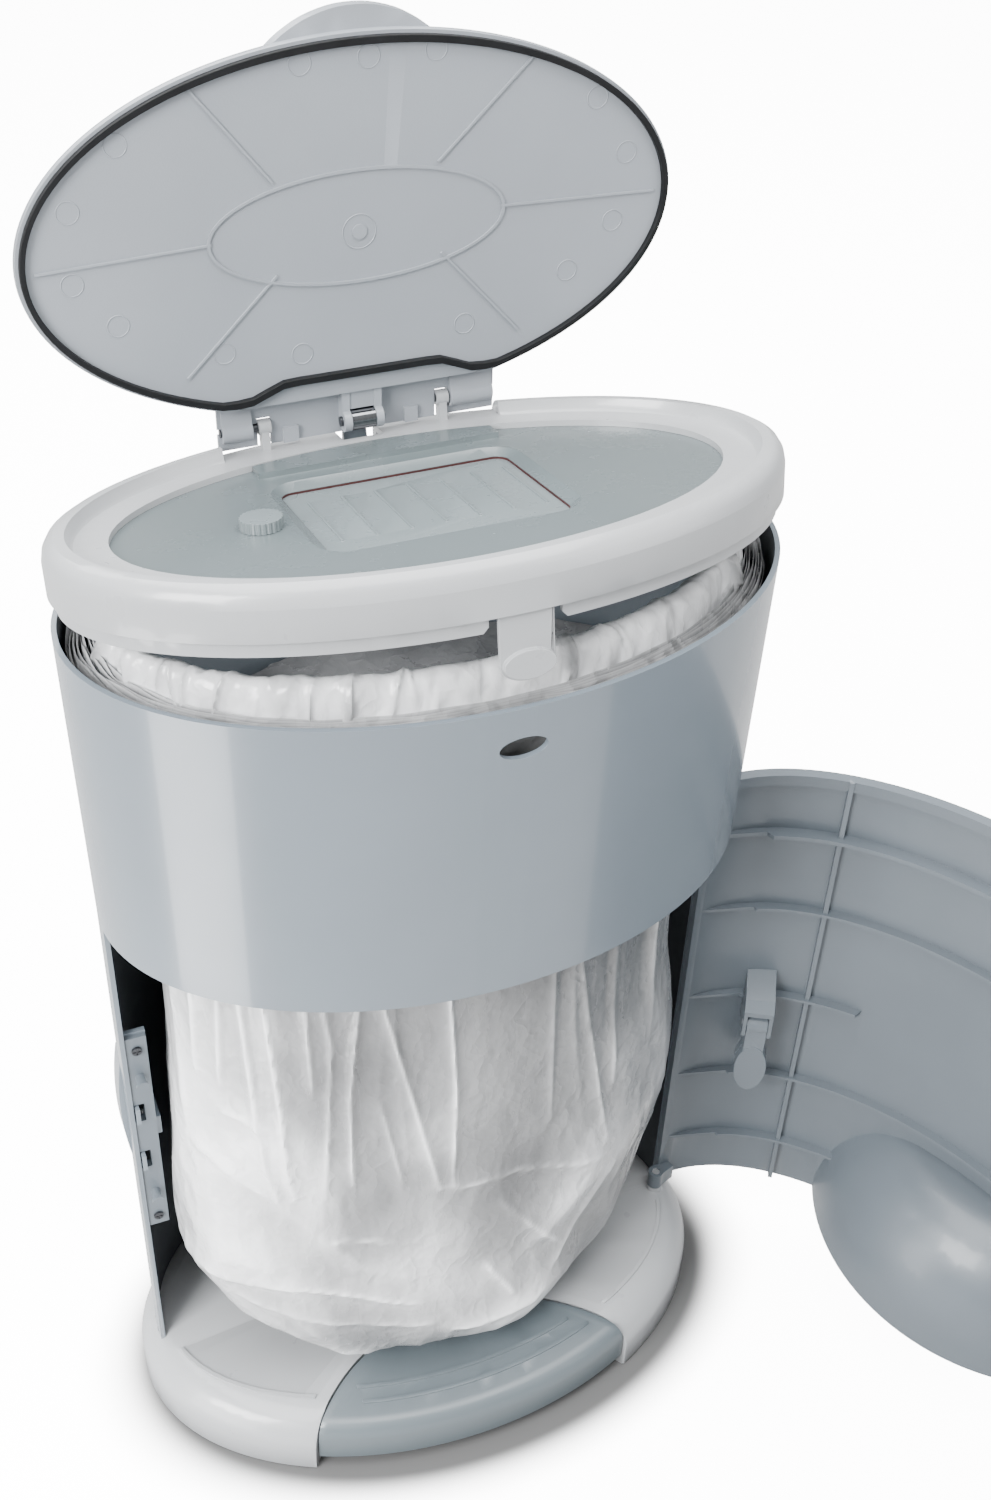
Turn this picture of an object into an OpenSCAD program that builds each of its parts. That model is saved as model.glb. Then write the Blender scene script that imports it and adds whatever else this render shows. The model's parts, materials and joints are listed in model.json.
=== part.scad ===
/* [Body] */
// half width of the oval rim, side to side
rim_a = 200; // [190:1:210]
// half depth of the oval rim, front to back
rim_b = 128.4; // [126:0.2:131]
// height of the rim above the floor
rim_z = 640; // [638:1:660]
// wall thickness of the body shell
wall = 3; // [2.5:0.25:3.25]
// height of the lower edge of the upper front band
band_z = 446; // [440:1:452]

/* [Base] */
// half width of the base
base_a = 209; // [207:1:214]
// half depth of the base
base_b = 133.8; // [133.4:0.2:137]
// height of the top of the base
base_h = 45; // [44:0.5:47]

/* [Lid and collar] */
// half width of the lid
lid_a = 180.8; // [178:0.2:182]
// half depth of the lid
lid_b = 101; // [99:0.2:102]
// tilt of the collar, raised at the front
collar_tilt = 10.8; // [0:0.2:30]
// opening angle of the lid measured on the collar
lid_open = 81; // [60:1:84]
// thickness of the window flap
flap_t = 2; // [1.6:0.2:2.2]

/* [Door] */
// opening angle of the front door
door_open = 110; // [0:1:115]
// wall thickness of the door
door_t = 3.8; // [3:0.2:4]

/* [Pedal] */
// travel of the push rod
stroke = 12.5; // [10:0.5:13]
// radius of the pedal axle
axle_r = 4; // [3.5:0.25:4.5]

/* [Hidden] */
yc = 4.5;
eps = 0.01;
// oval sizes at the lower edge of the band and at the foot of the shell
low_a = rim_a - 2.8;
low_b = rim_b - 2.1;
foot_z = 38;
jamb_y = -4;
fy = yc;
// collar heights when closed
lip_z = rim_z - 8;
flange_z = rim_z + 21;
ring_top = rim_z + 28;
lid_z = rim_z + 24.5;
// hinge lines
ch_y = 138; ch_z = rim_z + 8;
lh_y = 112; lh_z = rim_z + 34.3; KNUCKLES = [-55.5, 50];
fl_y = 64; fl_z = rim_z + 9.5;
// panel top and flap top when closed
pan_z = flange_z - 3.6; flap_z = flange_z - 8.6;
dh_x = 189; dh_y = -5.5;
pv_y = -20; pv_z = 26;
rod_y = 124;
ring_a = rim_a - 0.7; ring_b = 121.5;
lip_a = 195.7; lip_b = 117.9;
step_a = 184.5; step_b = 109.5;
open_a = 165.3; open_b = 93.8;
door_lo = 49; door_hi = band_z - 3;
cut_r = 140; cut_y = -188; rear_y = cut_y + cut_r;
knob_x = -88; knob_y = 5.2;

white = [0.90, 0.90, 0.89];
blue = [0.62, 0.68, 0.73];
grey = [0.66, 0.70, 0.73];
pale = [0.80, 0.83, 0.84];
steel = [0.78, 0.79, 0.80];
black = [0.10, 0.10, 0.11];
film = [0.96, 0.96, 0.97];

// flat oval outline as a polygon
module oval(a, b, n = 72) { polygon([for (i = [0:n-1]) [a*cos(i*360/n), b*sin(i*360/n)]]); }
// upright oval column
module col(a, b, z0, z1, y = 0, n = 72) { translate([0, y, z0]) linear_extrude(z1 - z0) oval(a, b, n); }
// stack of ovals [half width, half depth, height, centre depth]
module loft(r, n = 72) {
  m = len(r);
  pts = [for (k = [0:m-1]) for (i = [0:n-1])
    [r[k][0]*cos(i*360/n), r[k][1]*sin(i*360/n) + r[k][3], r[k][2]]];
  side = [for (k = [0:m-2]) for (i = [0:n-1]) each
    [[k*n+i, (k+1)*n+i, (k+1)*n+(i+1)%n], [k*n+i, (k+1)*n+(i+1)%n, k*n+(i+1)%n]]];
  polyhedron(points = pts, faces = concat([[for (i = [0:n-1]) i]], side,
    [[for (i = [n-1:-1:0]) (m-1)*n+i]]));
}
// stack of rounded rectangles [x0, x1, y0, y1, corner radius, height]
function rrect(r) = [for (c = [[r[1]-r[4], r[3]-r[4], 0], [r[0]+r[4], r[3]-r[4], 90],
  [r[0]+r[4], r[2]+r[4], 180], [r[1]-r[4], r[2]+r[4], 270]]) for (k = [0:5])
  [c[0]+r[4]*cos(c[2]+k*18), c[1]+r[4]*sin(c[2]+k*18), r[5]]];
module rloft(r) {
  n = 24; m = len(r);
  side = [for (k = [0:m-2]) for (i = [0:n-1]) each
    [[k*n+i, (k+1)*n+i, (k+1)*n+(i+1)%n], [k*n+i, (k+1)*n+(i+1)%n, k*n+(i+1)%n]]];
  polyhedron(points = [for (q = r) each rrect(q)], faces = concat([[for (i = [0:n-1]) i]], side,
    [[for (i = [n-1:-1:0]) (m-1)*n+i]]));
}
module rodx(r, x0, x1, y, z, n = 48) { translate([x0, y, z]) rotate([0, 90, 0]) cylinder(r = r, h = x1 - x0, $fn = n); }
module box(x0, x1, y0, y1, z0, z1) { translate([x0, y0, z0]) cube([x1 - x0, y1 - y0, z1 - z0]); }

// poses of the moving groups
module on_collar() { translate([0, ch_y, ch_z]) rotate([-collar_tilt, 0, 0]) translate([0, -ch_y, -ch_z]) children(); }
module on_lid() { on_collar() translate([0, lh_y, lh_z]) rotate([-lid_open, 0, 0]) translate([0, -lh_y, -lh_z]) children(); }
module on_door() { translate([dh_x, dh_y, 0]) rotate([0, 0, door_open]) translate([-dh_x, -dh_y, 0]) children(); }

module base_solid(d = 0, top = base_h) {
  loft([[base_a-2-d, base_b-2-d, 0, 0], [base_a-d, base_b-d, 2, 0], [base_a-d, base_b-d, 26, 0],
    [base_a-1.5-d, base_b-1.5-d, 31, 0], [base_a-5-d, base_b-5-d, 36.5, 0],
    [base_a-11-d, base_b-11.5-d, 41.5, 0], [base_a-19-d, base_b-26-d, top, 0]]);
}
module pedal_cut(d, z0, z1) { translate([0, cut_y, z0]) cylinder(r = cut_r + d, h = z1 - z0, $fn = 144); }

module base() color(white) {
  difference() {
    base_solid();
    loft([[base_a-5, base_b-5, -1, 0], [base_a-4, base_b-4, 26, 0], [base_a-9, base_b-9, 34, 0],
      [base_a-20, base_b-28, base_h-5, 0]]);
    pedal_cut(0, -1, 60);
    // seat of the shell foot behind the jambs
    difference() {
      col(low_a+0.02, low_b+0.02, foot_z, 60, fy);
      col(low_a-wall-0.02, low_b-wall-0.02, foot_z-1, 61, fy);
      box(-250, 250, -250, jamb_y+0.01, 0, 80);
    }
    box(-7, 7, rod_y-5, rod_y+4.5, 30, 60);
    // seats of the hinge post and the release jamb
    translate([dh_x, dh_y, door_lo-13]) cylinder(r = 3, h = 60, $fn = 48);
  }
  // boss under the lower door barrel
  difference() {
    translate([dh_x, dh_y, base_h-3]) cylinder(r = 6, h = 6.6, $fn = 48);
    base_solid(0.001);
    translate([dh_x, dh_y, 30]) cylinder(r = 3, h = 60, $fn = 48);
  }
  // walls beside the pedal opening
  intersection() {
    difference() {
      base_solid(0.6, base_h-1);
      pedal_cut(0, -1, 60);
      difference() { box(-250, 250, -250, 250, -2, 60); pedal_cut(3, -3, 61); }
      box(-25, 25, rear_y-12, 60, -1, pv_z+12);
    }
    box(-250, 250, -250, 0, 0, base_h-4.9);
  }
  // cheeks that carry the axle
  for (s = [-1, 1]) difference() {
    box(s > 0 ? 36 : -42, s > 0 ? 42 : -36, pv_y-9, pv_y+9, pv_z-9, base_h-5);
    rodx(axle_r, -50, 50, pv_y, pv_z);
  }
  // raised bead on each side of the pedal opening
  difference() {
    col(base_a-19.5, base_b-28, base_h-0.01, base_h+1.6);
    col(base_a-22, base_b-30.5, base_h-1, base_h+3);
    pedal_cut(9, 30, 60);
    box(-250, 250, jamb_y-14, 250, 30, 60);
  }
}
module base_floor() color(white) difference() {
  col(base_a-4.9, base_b-4.9, 4, 7);
  pedal_cut(4, 0, 20);
}
module base_feet() color(black) {
  for (s = [-1, 1], y = [88.8-base_b, base_b-58.8]) translate([s*(base_a-69), y, 0]) cylinder(r = 10, h = 4, $fn = 48);
  cylinder(r = 10, h = 4, $fn = 48);
}

module shell_solid(d) {
  loft([[low_a-0.4-d, low_b-0.3-d, foot_z-(d>0?1:0), fy], [low_a-d, low_b-d, band_z, fy],
    [rim_a-d, rim_b-d, rim_z+(d>0?1:0), fy]]);
}
module body_shell() color(blue) {
  difference() {
    loft([[low_a, low_b, foot_z, fy], [low_a, low_b, band_z, fy], [rim_a, rim_b, rim_z, fy]]);
    loft([[low_a-wall, low_b-wall, foot_z-1, fy], [low_a-wall, low_b-wall, band_z, fy],
      [rim_a-wall, rim_b-wall, rim_z+1, fy]]);
    // door opening; the right side is set back for the swinging door edge
    box(-250, 250, -250, jamb_y, 0, band_z);
    box(150, 250, -250, 8, door_lo-4, band_z);
    // oval release window
    translate([2.5, -90, rim_z-24.6]) rotate([90, 0, 0]) linear_extrude(60) oval(13, 6.5, 48);
    // opening of the side release
    box(-215, -180, 5.4, 20.6, 229.4, 328.6);
  }
  // ledge that carries the film tray
  difference() {
    col(low_a-wall+2, low_b-wall+1.6, 534, 538, fy);
    col(low_a-wall-4, low_b-wall-4, 533, 539, fy);
    box(-12, 12, 100, 140, 530, 545);
  }
  // left jamb flange behind the latch plate
  intersection() {
    difference() {
      box(-198, -180, 0, 3, 169, 354);
      for (z = [231, 276]) box(-194.6, -186.6, -1, 4, z, z+16);
      for (z = [180, 341]) translate([-187, -5, z]) rotate([-90, 0, 0]) cylinder(r = 1.6, h = 20, $fn = 24);
    }
    col(low_a-wall+0.3, low_b-wall+0.3, 0, 500, fy);
  }
  // seat of the release spring
  box(-184, -177, 0, 3, 257, 273);
  box(-180, -177, 0, 19, 257, 273);
  // upper door hinge lug under the band
  difference() {
    intersection() {
      union() {
        translate([dh_x, dh_y, band_z]) cylinder(r = 6, h = 10, $fn = 48);
        box(dh_x-6, 198, dh_y-6, dh_y+6, band_z, band_z+10);
      }
      col(low_a-wall+0.3, low_b-wall+0.3, 0, 500, fy);
    }
    translate([dh_x, dh_y, band_z-1]) cylinder(r = 3, h = 20, $fn = 48);
  }
  // lugs of the collar hinge on the rear wall
  for (s = [-1, 1]) difference() {
    union() {
      box(s > 0 ? 50.2 : -58.2, s > 0 ? 58.2 : -50.2, 126, ch_y, rim_z-22, rim_z+8);
      box(s > 0 ? 50.2 : -58.2, s > 0 ? 58.2 : -50.2, ch_y-1, ch_y+6, rim_z-10, rim_z+8);
      rodx(6, s > 0 ? 50.2 : -58.2, s > 0 ? 58.2 : -50.2, ch_y, ch_z);
    }
    rodx(2.5, -80, 80, ch_y, ch_z);
    loft([[low_a-wall+0.3, low_b-wall+0.3, band_z, fy], [rim_a-wall+0.3, rim_b-wall+0.3, rim_z+1, fy]]);
    box(-90, 90, 100, 131.5, rim_z, rim_z+20);
  }
}
module rod_guides() color(pale)
  for (z = [150, 330, 500]) difference() {
    box(-12, 12, rod_y-6, low_b-wall+fy-0.3, z, z+16);
    box(-5.1, 5.1, rod_y-2.6, rod_y+2.6, z-1, z+17);
  }
module latch_plate() color(pale) difference() {
  intersection() {
    box(-196, -180.4, -3, 0, 171, 352);
    col(low_a-wall-0.3, low_b-wall-0.3, 0, 500, fy);
  }
  for (z = [231, 276]) box(-197, -186.6, -4, 1, z, z+16);
  for (z = [180, 341]) translate([-187, -5, z]) rotate([-90, 0, 0]) cylinder(r = 1.6, h = 20, $fn = 24);
  for (z = [205, 317]) translate([-187, -5, z]) rotate([-90, 0, 0]) cylinder(r = 2.5, h = 20, $fn = 24);
}
module latch_screws() color(steel)
  for (z = [180, 341]) translate([-187, 0, z]) rotate([-90, 0, 0]) {
    difference() {
      translate([0, 0, -4.6]) cylinder(r = 3.2, h = 1.6, $fn = 32);
      translate([-2.4, -0.4, -5]) cube([4.8, 0.8, 1]);
      translate([-0.4, -2.4, -5]) cube([0.8, 4.8, 1]);
    }
    translate([0, 0, -3]) cylinder(r = 1.6, h = 8, $fn = 24);
  }
module latch_pegs() color(pale)
  for (z = [205, 317]) translate([-187, 0, z]) rotate([-90, 0, 0]) {
    translate([0, 0, -3]) cylinder(r = 2.5, h = 3, $fn = 32);
    translate([0, 0, -10]) cylinder(r = 3, h = 7, $fn = 32);
    translate([0, 0, -12]) cylinder(r = 4, h = 2, $fn = 32);
  }
module door_release() color(blue) {
  // pad that follows the wall and bulges outwards at mid height
  intersection() {
    box(-210, -191, 6, 20, 230, 328);
    translate([87.4, 30, 279]) rotate([90, 0, 0]) cylinder(r = 288, h = 40, $fn = 240);
  }
  // inner flange with two hooks
  intersection() {
    box(-194, -190.2, 4.2, 21.8, 225, 333);
    col(low_a-wall-0.3, low_b-wall-0.3, 200, 350, fy);
  }
  for (z = [232, 277]) box(-193, -190.2, -6.5, 5, z, z+14);
}
module release_spring() color(steel)
  for (i = [0:6]) translate([-189.6+i*1.5, 13, 265])
    rotate([0, 90, 0]) rotate_extrude($fn = 36) translate([2.6, 0]) circle(r = 0.5, $fn = 16);

module film_tray() color(grey) difference() {
  union() {
    col(165.6, 89.6, 538, rim_z-2, fy);
    col(low_a-wall-0.4, low_b-wall-0.4, 538, 541, fy);
  }
  col(163, 87, 530, rim_z+10, fy);
  box(-9, 9, rod_y-5, 140, 530, 560);
}
module film_pack() color(film) difference() {
  col(190, 113.5, 541, rim_z-30, fy);
  col(167.5, 91.5, 540, rim_z, fy);
}
module film_roll() color(film) difference() {
  loft([[184, 106.5, rim_z-29.7, fy], [188, 110.3, rim_z-24, fy], [188, 110.3, rim_z-3, fy],
    [185, 107.3, rim_z+3, fy], [179, 101.3, rim_z+7, fy], [172, 94.3, rim_z+8, fy]]);
  col(166, 90, 600, rim_z-1.7, fy);
  loft([[163, 87, rim_z-1.9, fy], [166, 90, rim_z+4, fy], [169.5, 93.5, rim_z+8.5, fy]]);
}
module liner_bag() color(film) difference() {
  loft([[105, 30, 50.4, 14], [132, 46, 58, 16], [146, 56, 75, 18], [158, 66, 105, 20],
    [166, 76, 150, 18], [170, 82, 210, 15], [172, 84, 250, 13], [170, 85, 350, 10], [167, 86, band_z, 8],
    [164, 86.5, 500, 6], [162.5, 86.5, 538, fy], [162.5, 86.5, 543, fy]], 60);
  // hollow where the film cutter sits when the door is closed
  translate([165, -60, 245]) rotate([0, 0, 131]) translate([-30, -15, -82]) cube([92, 30, 126]);
}

module push_rod() color(grey) {
  box(-5, 5, rod_y-2.5, rod_y+2.5, 30.5, rim_z+16);
  // sloped head that faces the lid roller
  translate([-7, 0, 0]) rotate([90, 0, 90]) linear_extrude(14)
    polygon([[rod_y-2.5, rim_z+12], [rod_y+2.5, rim_z+12], [rod_y+2.5, rim_z+25], [rod_y+0.5, rim_z+25], [rod_y-2.5, rim_z+17]]);
  // foot that rides on the lever
  box(-6, 6, rod_y-2.5, rod_y+2.5, 30.5, 34);
}

module pad_solid(d, top) {
  loft([[base_a-2.5-d, base_b-2.5-d, 12.5, 0], [base_a-2.5-d, base_b-2.5-d, top-12, 0],
    [base_a-3.6-d, base_b-3.6-d, top-7, 0], [base_a-6.3-d, base_b-6.3-d, top-3, 0],
    [base_a-10-d, base_b-10-d, top-0.8, 0], [base_a-14-d, base_b-14-d, top, 0]]);
}
module pedal_pad() color(grey) {
  difference() {
    intersection() {
      pad_solid(0, base_h-0.2);
      pedal_cut(-1.6, 12.5, 60);
    }
    // gap for the lever in the rear wall
    box(-18.05, 18.05, rear_y-22, rear_y+8, 12, pv_z+4.05);
    // hollow underside
    intersection() {
      union() {
        col(base_a-5.5, base_b-5.5, 10, base_h-13, 0);
        pad_solid(3.5, base_h-4.5);
      }
      pedal_cut(-6, 10, base_h-4.5);
      box(-250, 250, -300, rear_y-6, 0, base_h-4.5);
    }
  }
  // two curved grip ribs
  intersection() {
    union() for (k = [0, 1]) difference() {
      col(base_a-20-9*k, base_b-22.3-12*k, base_h-0.4, base_h+1);
      col(base_a-22.8-9*k, base_b-25.1-12*k, base_h-1, base_h+4);
    }
    union() {
      box(-91, 91, -200, -90.5, 0, 80);
      box(-79, 79, -200, -60, 0, 80);
    }
    difference() { col(250, 250, 0, 80); box(-150, -79, -102, 0, -1, 81); }
  }
}
module pedal_lever() color(grey) difference() {
  union() {
    rodx(9, -22, 22, pv_y, pv_z);
    box(-18, 18, rear_y-52, pv_y, pv_z-4, pv_z+4);
    box(-10, 10, pv_y, rod_y+3, pv_z-4, pv_z+4);
    box(-18, 18, rear_y-52, rear_y-12, pv_z+4, base_h-4.6);
  }
  rodx(axle_r+0.05, -30, 30, pv_y, pv_z, 64);
  for (x = [-11, 11]) translate([x, rear_y-32, 10]) cylinder(r = 2, h = 40, $fn = 24);
}
module pedal_screws() color(steel)
  for (x = [-11, 11]) translate([x, rear_y-32, 0]) {
    translate([0, 0, pv_z-6.2]) cylinder(r = 4, h = 2.2, $fn = 32);
    translate([0, 0, pv_z-4]) cylinder(r = 2, h = base_h-4.6-pv_z+4, $fn = 24);
  }
module pedal_axle() color(steel) {
  rodx(axle_r, -42, 42, pv_y, pv_z, 64);
  for (s = [-1, 1]) rodx(6, s > 0 ? 42 : -44, s > 0 ? 44 : -42, pv_y, pv_z);
}
module pedal_spring() color(steel) for (s = [-1, 1]) for (i = [0:5])
  translate([s*(23.4+i*2.3), pv_y, pv_z]) rotate([0, 90, 0])
    rotate_extrude($fn = 40) translate([axle_r+1.1, 0]) circle(r = 1, $fn = 16);

module collar_pins() color(steel) for (s = [-1, 1])
  rodx(2.5, s > 0 ? 34 : -60, s > 0 ? 60 : -34, ch_y, ch_z, 48);

// closed collar
module collar_ring() on_collar() color(white) {
  difference() {
    union() {
      col(lip_a, lip_b, lip_z, rim_z+0.31, fy);
      loft([[ring_a, ring_b, rim_z+0.3, fy], [ring_a, ring_b, rim_z+17, fy],
        [ring_a-1, ring_b-1, rim_z+22, fy], [ring_a-3.5, ring_b-3.5, rim_z+26, fy],
        [ring_a-7, ring_b-6.5, ring_top, fy]]);
    }
    // step, throat and hollow underside
    loft([[step_a-1.5, step_b-1.5, flange_z, fy], [step_a, step_b, flange_z+1.5, fy],
      [step_a+2, step_b+1.5, ring_top+0.5, fy]]);
    col(open_a, open_b, 600, 700, fy);
    col(lip_a-3, lip_b-3, 600, flange_z-3.5, fy);
    difference() {
      col(lip_a-3, lip_b-3, flange_z-4, ring_top-3.5, fy);
      col(step_a+2.5, step_b+2.5, flange_z-5, ring_top, fy);
    }
    // cut-away for the lid flange and the rod
    box(-82, 82, 96, 140, flange_z, 700);
    box(-12, 12, rod_y-19, 140, 600, 700);
    // notch for the latch tongue
    translate([0, -95, rim_z]) rotate([90, 0, 0]) linear_extrude(45)
      polygon([[-17, -40], [28, -40], [28, -9], [24.4, -5], [24.4, 0.3], [-13.4, 0.3], [-13.4, -5], [-17, -9]]);
    box(-13.4, 24.4, -115.4, -95, 600, rim_z+4);
    box(-9.9, 19.9, -115.4, -95, 600, rim_z+17);
  }
  // cap that closes the cut rim at the rear
  difference() {
    col(ring_a-0.5, ring_b-0.5, flange_z-3.5, flange_z, fy);
    col(step_a-4, step_b-4, 600, 700, fy);
    difference() { box(-250, 250, -250, 250, 600, 700); box(-81.9, 81.9, 96.1, 140, 600, 700); }
    box(-12, 12, rod_y-19, 140, 600, 700);
  }
  // knuckles of the lid hinge
  for (x = KNUCKLES) difference() {
    union() {
      rodx(4.4, x-3.5, x+3.5, lh_y, lh_z);
      box(x-2.2, x+2.2, lh_y-3.6, lh_y+3.6, flange_z-0.01, lh_z);
    }
    rodx(2.5, -80, 80, lh_y, lh_z);
  }
  // arms and knuckles of the rear hinge
  for (s = [-1, 1]) difference() {
    union() {
      rodx(6, s > 0 ? 36 : -50, s > 0 ? 50 : -36, ch_y, ch_z);
      box(s > 0 ? 36 : -50, s > 0 ? 50 : -36, 122, ch_y, ch_z-5.5, ch_z+5);
    }
    rodx(2.55, -80, 80, ch_y, ch_z);
    intersection() { col(lip_a-3, lip_b-3, 600, 700, fy); box(-60, 60, 100, 140, 600, 700); }
  }
}
module panel_outline(d, z0, z1) { col(open_a-1-d, open_b-1-d, z0, z1, fy); }
module trap_panel() on_collar() color(grey) difference() {
  union() {
    col(open_a+8, open_b+8, pan_z-2.6, pan_z, fy);
    // raised rear shelf under the dip of the lid seal
    intersection() {
      box(-70, 70, 75, 120, pan_z-1, flange_z-0.3);
      panel_outline(0, 600, 700);
    }
    // frame of the window
    box(-75, 75, -50, 67.2, flap_z+1.2, pan_z-2.4);
    for (s = [-1, 1]) box(s > 0 ? 51 : -55, s > 0 ? 55 : -51, fl_y-3, fl_y+3, fl_z-3, flap_z+1.3);
  }
  // window with sloped sides
  rloft([[-65, 65, -39.4, 56.6, 8, flap_z-1], [-65, 65, -39.4, 56.6, 8, flap_z+1.4],
    [-71, 71, -46, 63.2, 18, pan_z-0.3], [-72, 72, -47, 64.2, 19, pan_z+0.6]]);
  rodx(1.55, -80, 80, fl_y, fl_z, 48);
  translate([knob_x, knob_y, 600]) cylinder(r = 4.05, h = 100, $fn = 48);
}
module trap_flap() on_collar() color(pale) {
  box(-67.5, 67.5, -42, 59, flap_z-flap_t, flap_z);
  for (x = [-53.5, -34.9, -16.3, 2.3, 20.9, 39.5, 58.1]) box(x-0.7, x+0.7, -20, 41, flap_z-0.01, flap_z+0.8);
  for (s = [-1, 1]) difference() {
    union() {
      rodx(2.6, s > 0 ? 24 : -50, s > 0 ? 50 : -24, fl_y, fl_z);
      box(s > 0 ? 24 : -50, s > 0 ? 50 : -24, 57, fl_y, fl_z-0.9, flap_z-flap_t+0.6);
    }
    rodx(1.55, -80, 80, fl_y, fl_z);
  }
}
module flap_gasket() on_collar() color([0.35, 0.12, 0.12]) difference() {
  box(-67.3, 67.3, -41.8, 58.8, flap_z, flap_z+1.1);
  rloft([[-64.8, 64.8, -39.2, 56.4, 8, flap_z-1], [-64.8, 64.8, -39.2, 56.4, 8, flap_z+3]]);
}
module flap_pin() on_collar() color(steel) rodx(1.5, -56, 56, fl_y, fl_z, 32);
module flap_spring() on_collar() color(steel) for (i = [0:5])
  translate([-6+i*2.4, fl_y, fl_z]) rotate([0, 90, 0])
    rotate_extrude($fn = 32) translate([2.25, 0]) circle(r = 0.7, $fn = 12);
module turn_knob() on_collar() color(pale) translate([knob_x, knob_y, 0]) {
  difference() {
    translate([0, 0, pan_z+0.1]) cylinder(r = 11.3, h = 5.9, $fn = 72);
    for (i = [0:23]) rotate([0, 0, i*15]) translate([11.7, 0, pan_z-1]) cylinder(r = 0.9, h = 8, $fn = 16);
  }
  translate([0, 0, pan_z-6.7]) cylinder(r = 4, h = 7.2, $fn = 48);
  translate([0, 0, pan_z-6.7]) cylinder(r = 7, h = 3.8, $fn = 48);
  translate([-15, -3, pan_z-6.7]) cube([10, 6, 3]);
}
module latch_tongue() on_collar() color(white) {
  box(-9.2, 19.2, -115, -112.4, rim_z-26.5, rim_z+16.8);
  // round end with the raised oval button
  translate([5, -112.4, rim_z-26.5]) rotate([90, 0, 0]) linear_extrude(2.6) oval(14.2, 9.2, 48);
  translate([5.5, -114.9, rim_z-26.5]) rotate([90, 0, 0]) linear_extrude(2.8) oval(13.5, 7.6, 48);
  box(-9.2, 19.2, -112.5, -107.5, rim_z+14.3, rim_z+16.8);
}

// outline of the lid face with the dip at the hinge
function dip(x) = let (u = min(1, max(0, (abs(x)-42)/26))) 83 + 8.2*u*u*(3-2*u);
function lid_y(a, b, t, g) = let (x = a*cos(t), y = fy + b*sin(t)) abs(x) < 84 && y > 0 ? min(y, dip(x)+g) : y;
module dipped(a, b, g, z0, z1, n = 120) {
  translate([0, 0, z0]) linear_extrude(z1-z0)
    polygon([for (i = [0:n-1]) [a*cos(i*360/n), lid_y(a, b, i*360/n, g)]]);
}
module lid_outer() on_lid() color(grey) {
  difference() {
    loft([[lid_a-0.4, lid_b-0.4, lid_z, fy], [lid_a, lid_b, lid_z+1, fy], [lid_a, lid_b, lid_z+4, fy],
      [lid_a-2.5, lid_b-2.5, lid_z+9, fy], [lid_a-10, lid_b-9, lid_z+13, fy],
      [lid_a-30, lid_b-26, lid_z+16.5, fy], [lid_a-75, lid_b-55, lid_z+18, fy]]);
    loft([[lid_a-2.6, lid_b-2.6, lid_z-1, fy], [lid_a-2.6, lid_b-2.6, lid_z+4.5, fy],
      [lid_a-12, lid_b-11, lid_z+10.5, fy], [lid_a-31, lid_b-27, lid_z+14, fy],
      [lid_a-75, lid_b-55, lid_z+15.5, fy]]);
    box(-82, 82, 95.5, 130, 600, 800);
  }
  // rear wall towards the hinge
  intersection() {
    box(-82, 82, 93, 95.6, lid_z+0.6, lid_z+13);
    loft([[lid_a-0.4, lid_b-0.4, lid_z, fy], [lid_a, lid_b, lid_z+4, fy],
      [lid_a-2.5, lid_b-2.5, lid_z+9, fy], [lid_a-12, lid_b-11, lid_z+12.4, fy]]);
  }
  // land between the seal dip and the hinge
  difference() {
    intersection() {
      col(lid_a-2.5, lid_b-2.5, lid_z+0.6, lid_z+2.5, fy);
      box(-86, 86, 75, 95.6, 600, 800);
    }
    dipped(lid_a-2.6, lid_b-2.7, 1.6, lid_z-1, lid_z+5);
  }
  // front handle lip
  difference() {
    intersection() {
      translate([0, -42, lid_z+4]) cylinder(r = 66, h = 7, $fn = 120);
      box(-52, 52, -120, -88, 600, 800);
    }
    loft([[lid_a-0.1, lid_b-0.1, lid_z, fy], [lid_a-0.1, lid_b-0.1, lid_z+4.2, fy],
      [lid_a-2.6, lid_b-2.6, lid_z+9.1, fy], [lid_a-6, lid_b-6, lid_z+11.5, fy]]);
  }
}
module lid_inner() on_lid() color(pale) {
  difference() {
    union() {
      dipped(lid_a-4.7, lid_b-5.7, -1.6, lid_z, lid_z+2.6);
      dipped(lid_a-2.8, lid_b-2.8, 1.6, lid_z+2.6, lid_z+4.4);
    }
  }
  // oval rib and six radial ribs
  difference() {
    col(82.4, 30.6, lid_z-1, lid_z+0.01, fy-3);
    col(80.8, 29, lid_z-2, lid_z+0.01, fy-3);
  }
  for (r = [[-46, -27, -87, -79], [44, -27, 98, -77], [80, 1, 171, 4], [46, 22, 92, 73],
    [-46, 22, -98, 72], [-80, 1, -171, 4]])
    translate([r[0], r[1], lid_z-1]) rotate([0, 0, atan2(r[3]-r[1], r[2]-r[0])])
      translate([0, -0.6, 0]) cube([norm([r[2]-r[0], r[3]-r[1]]), 1.2, 1.01]);
  translate([0, fy, lid_z-0.8]) cylinder(r = 4, h = 0.81, $fn = 32);
}
module lid_seal() on_lid() color(black) difference() {
  dipped(lid_a-1.7-1, lid_b-1.7-1.1, 1.5, flange_z+0.2, lid_z+2.5);
  dipped(lid_a-4.6, lid_b-5.6, -1.5, flange_z, lid_z+3);
}
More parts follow.
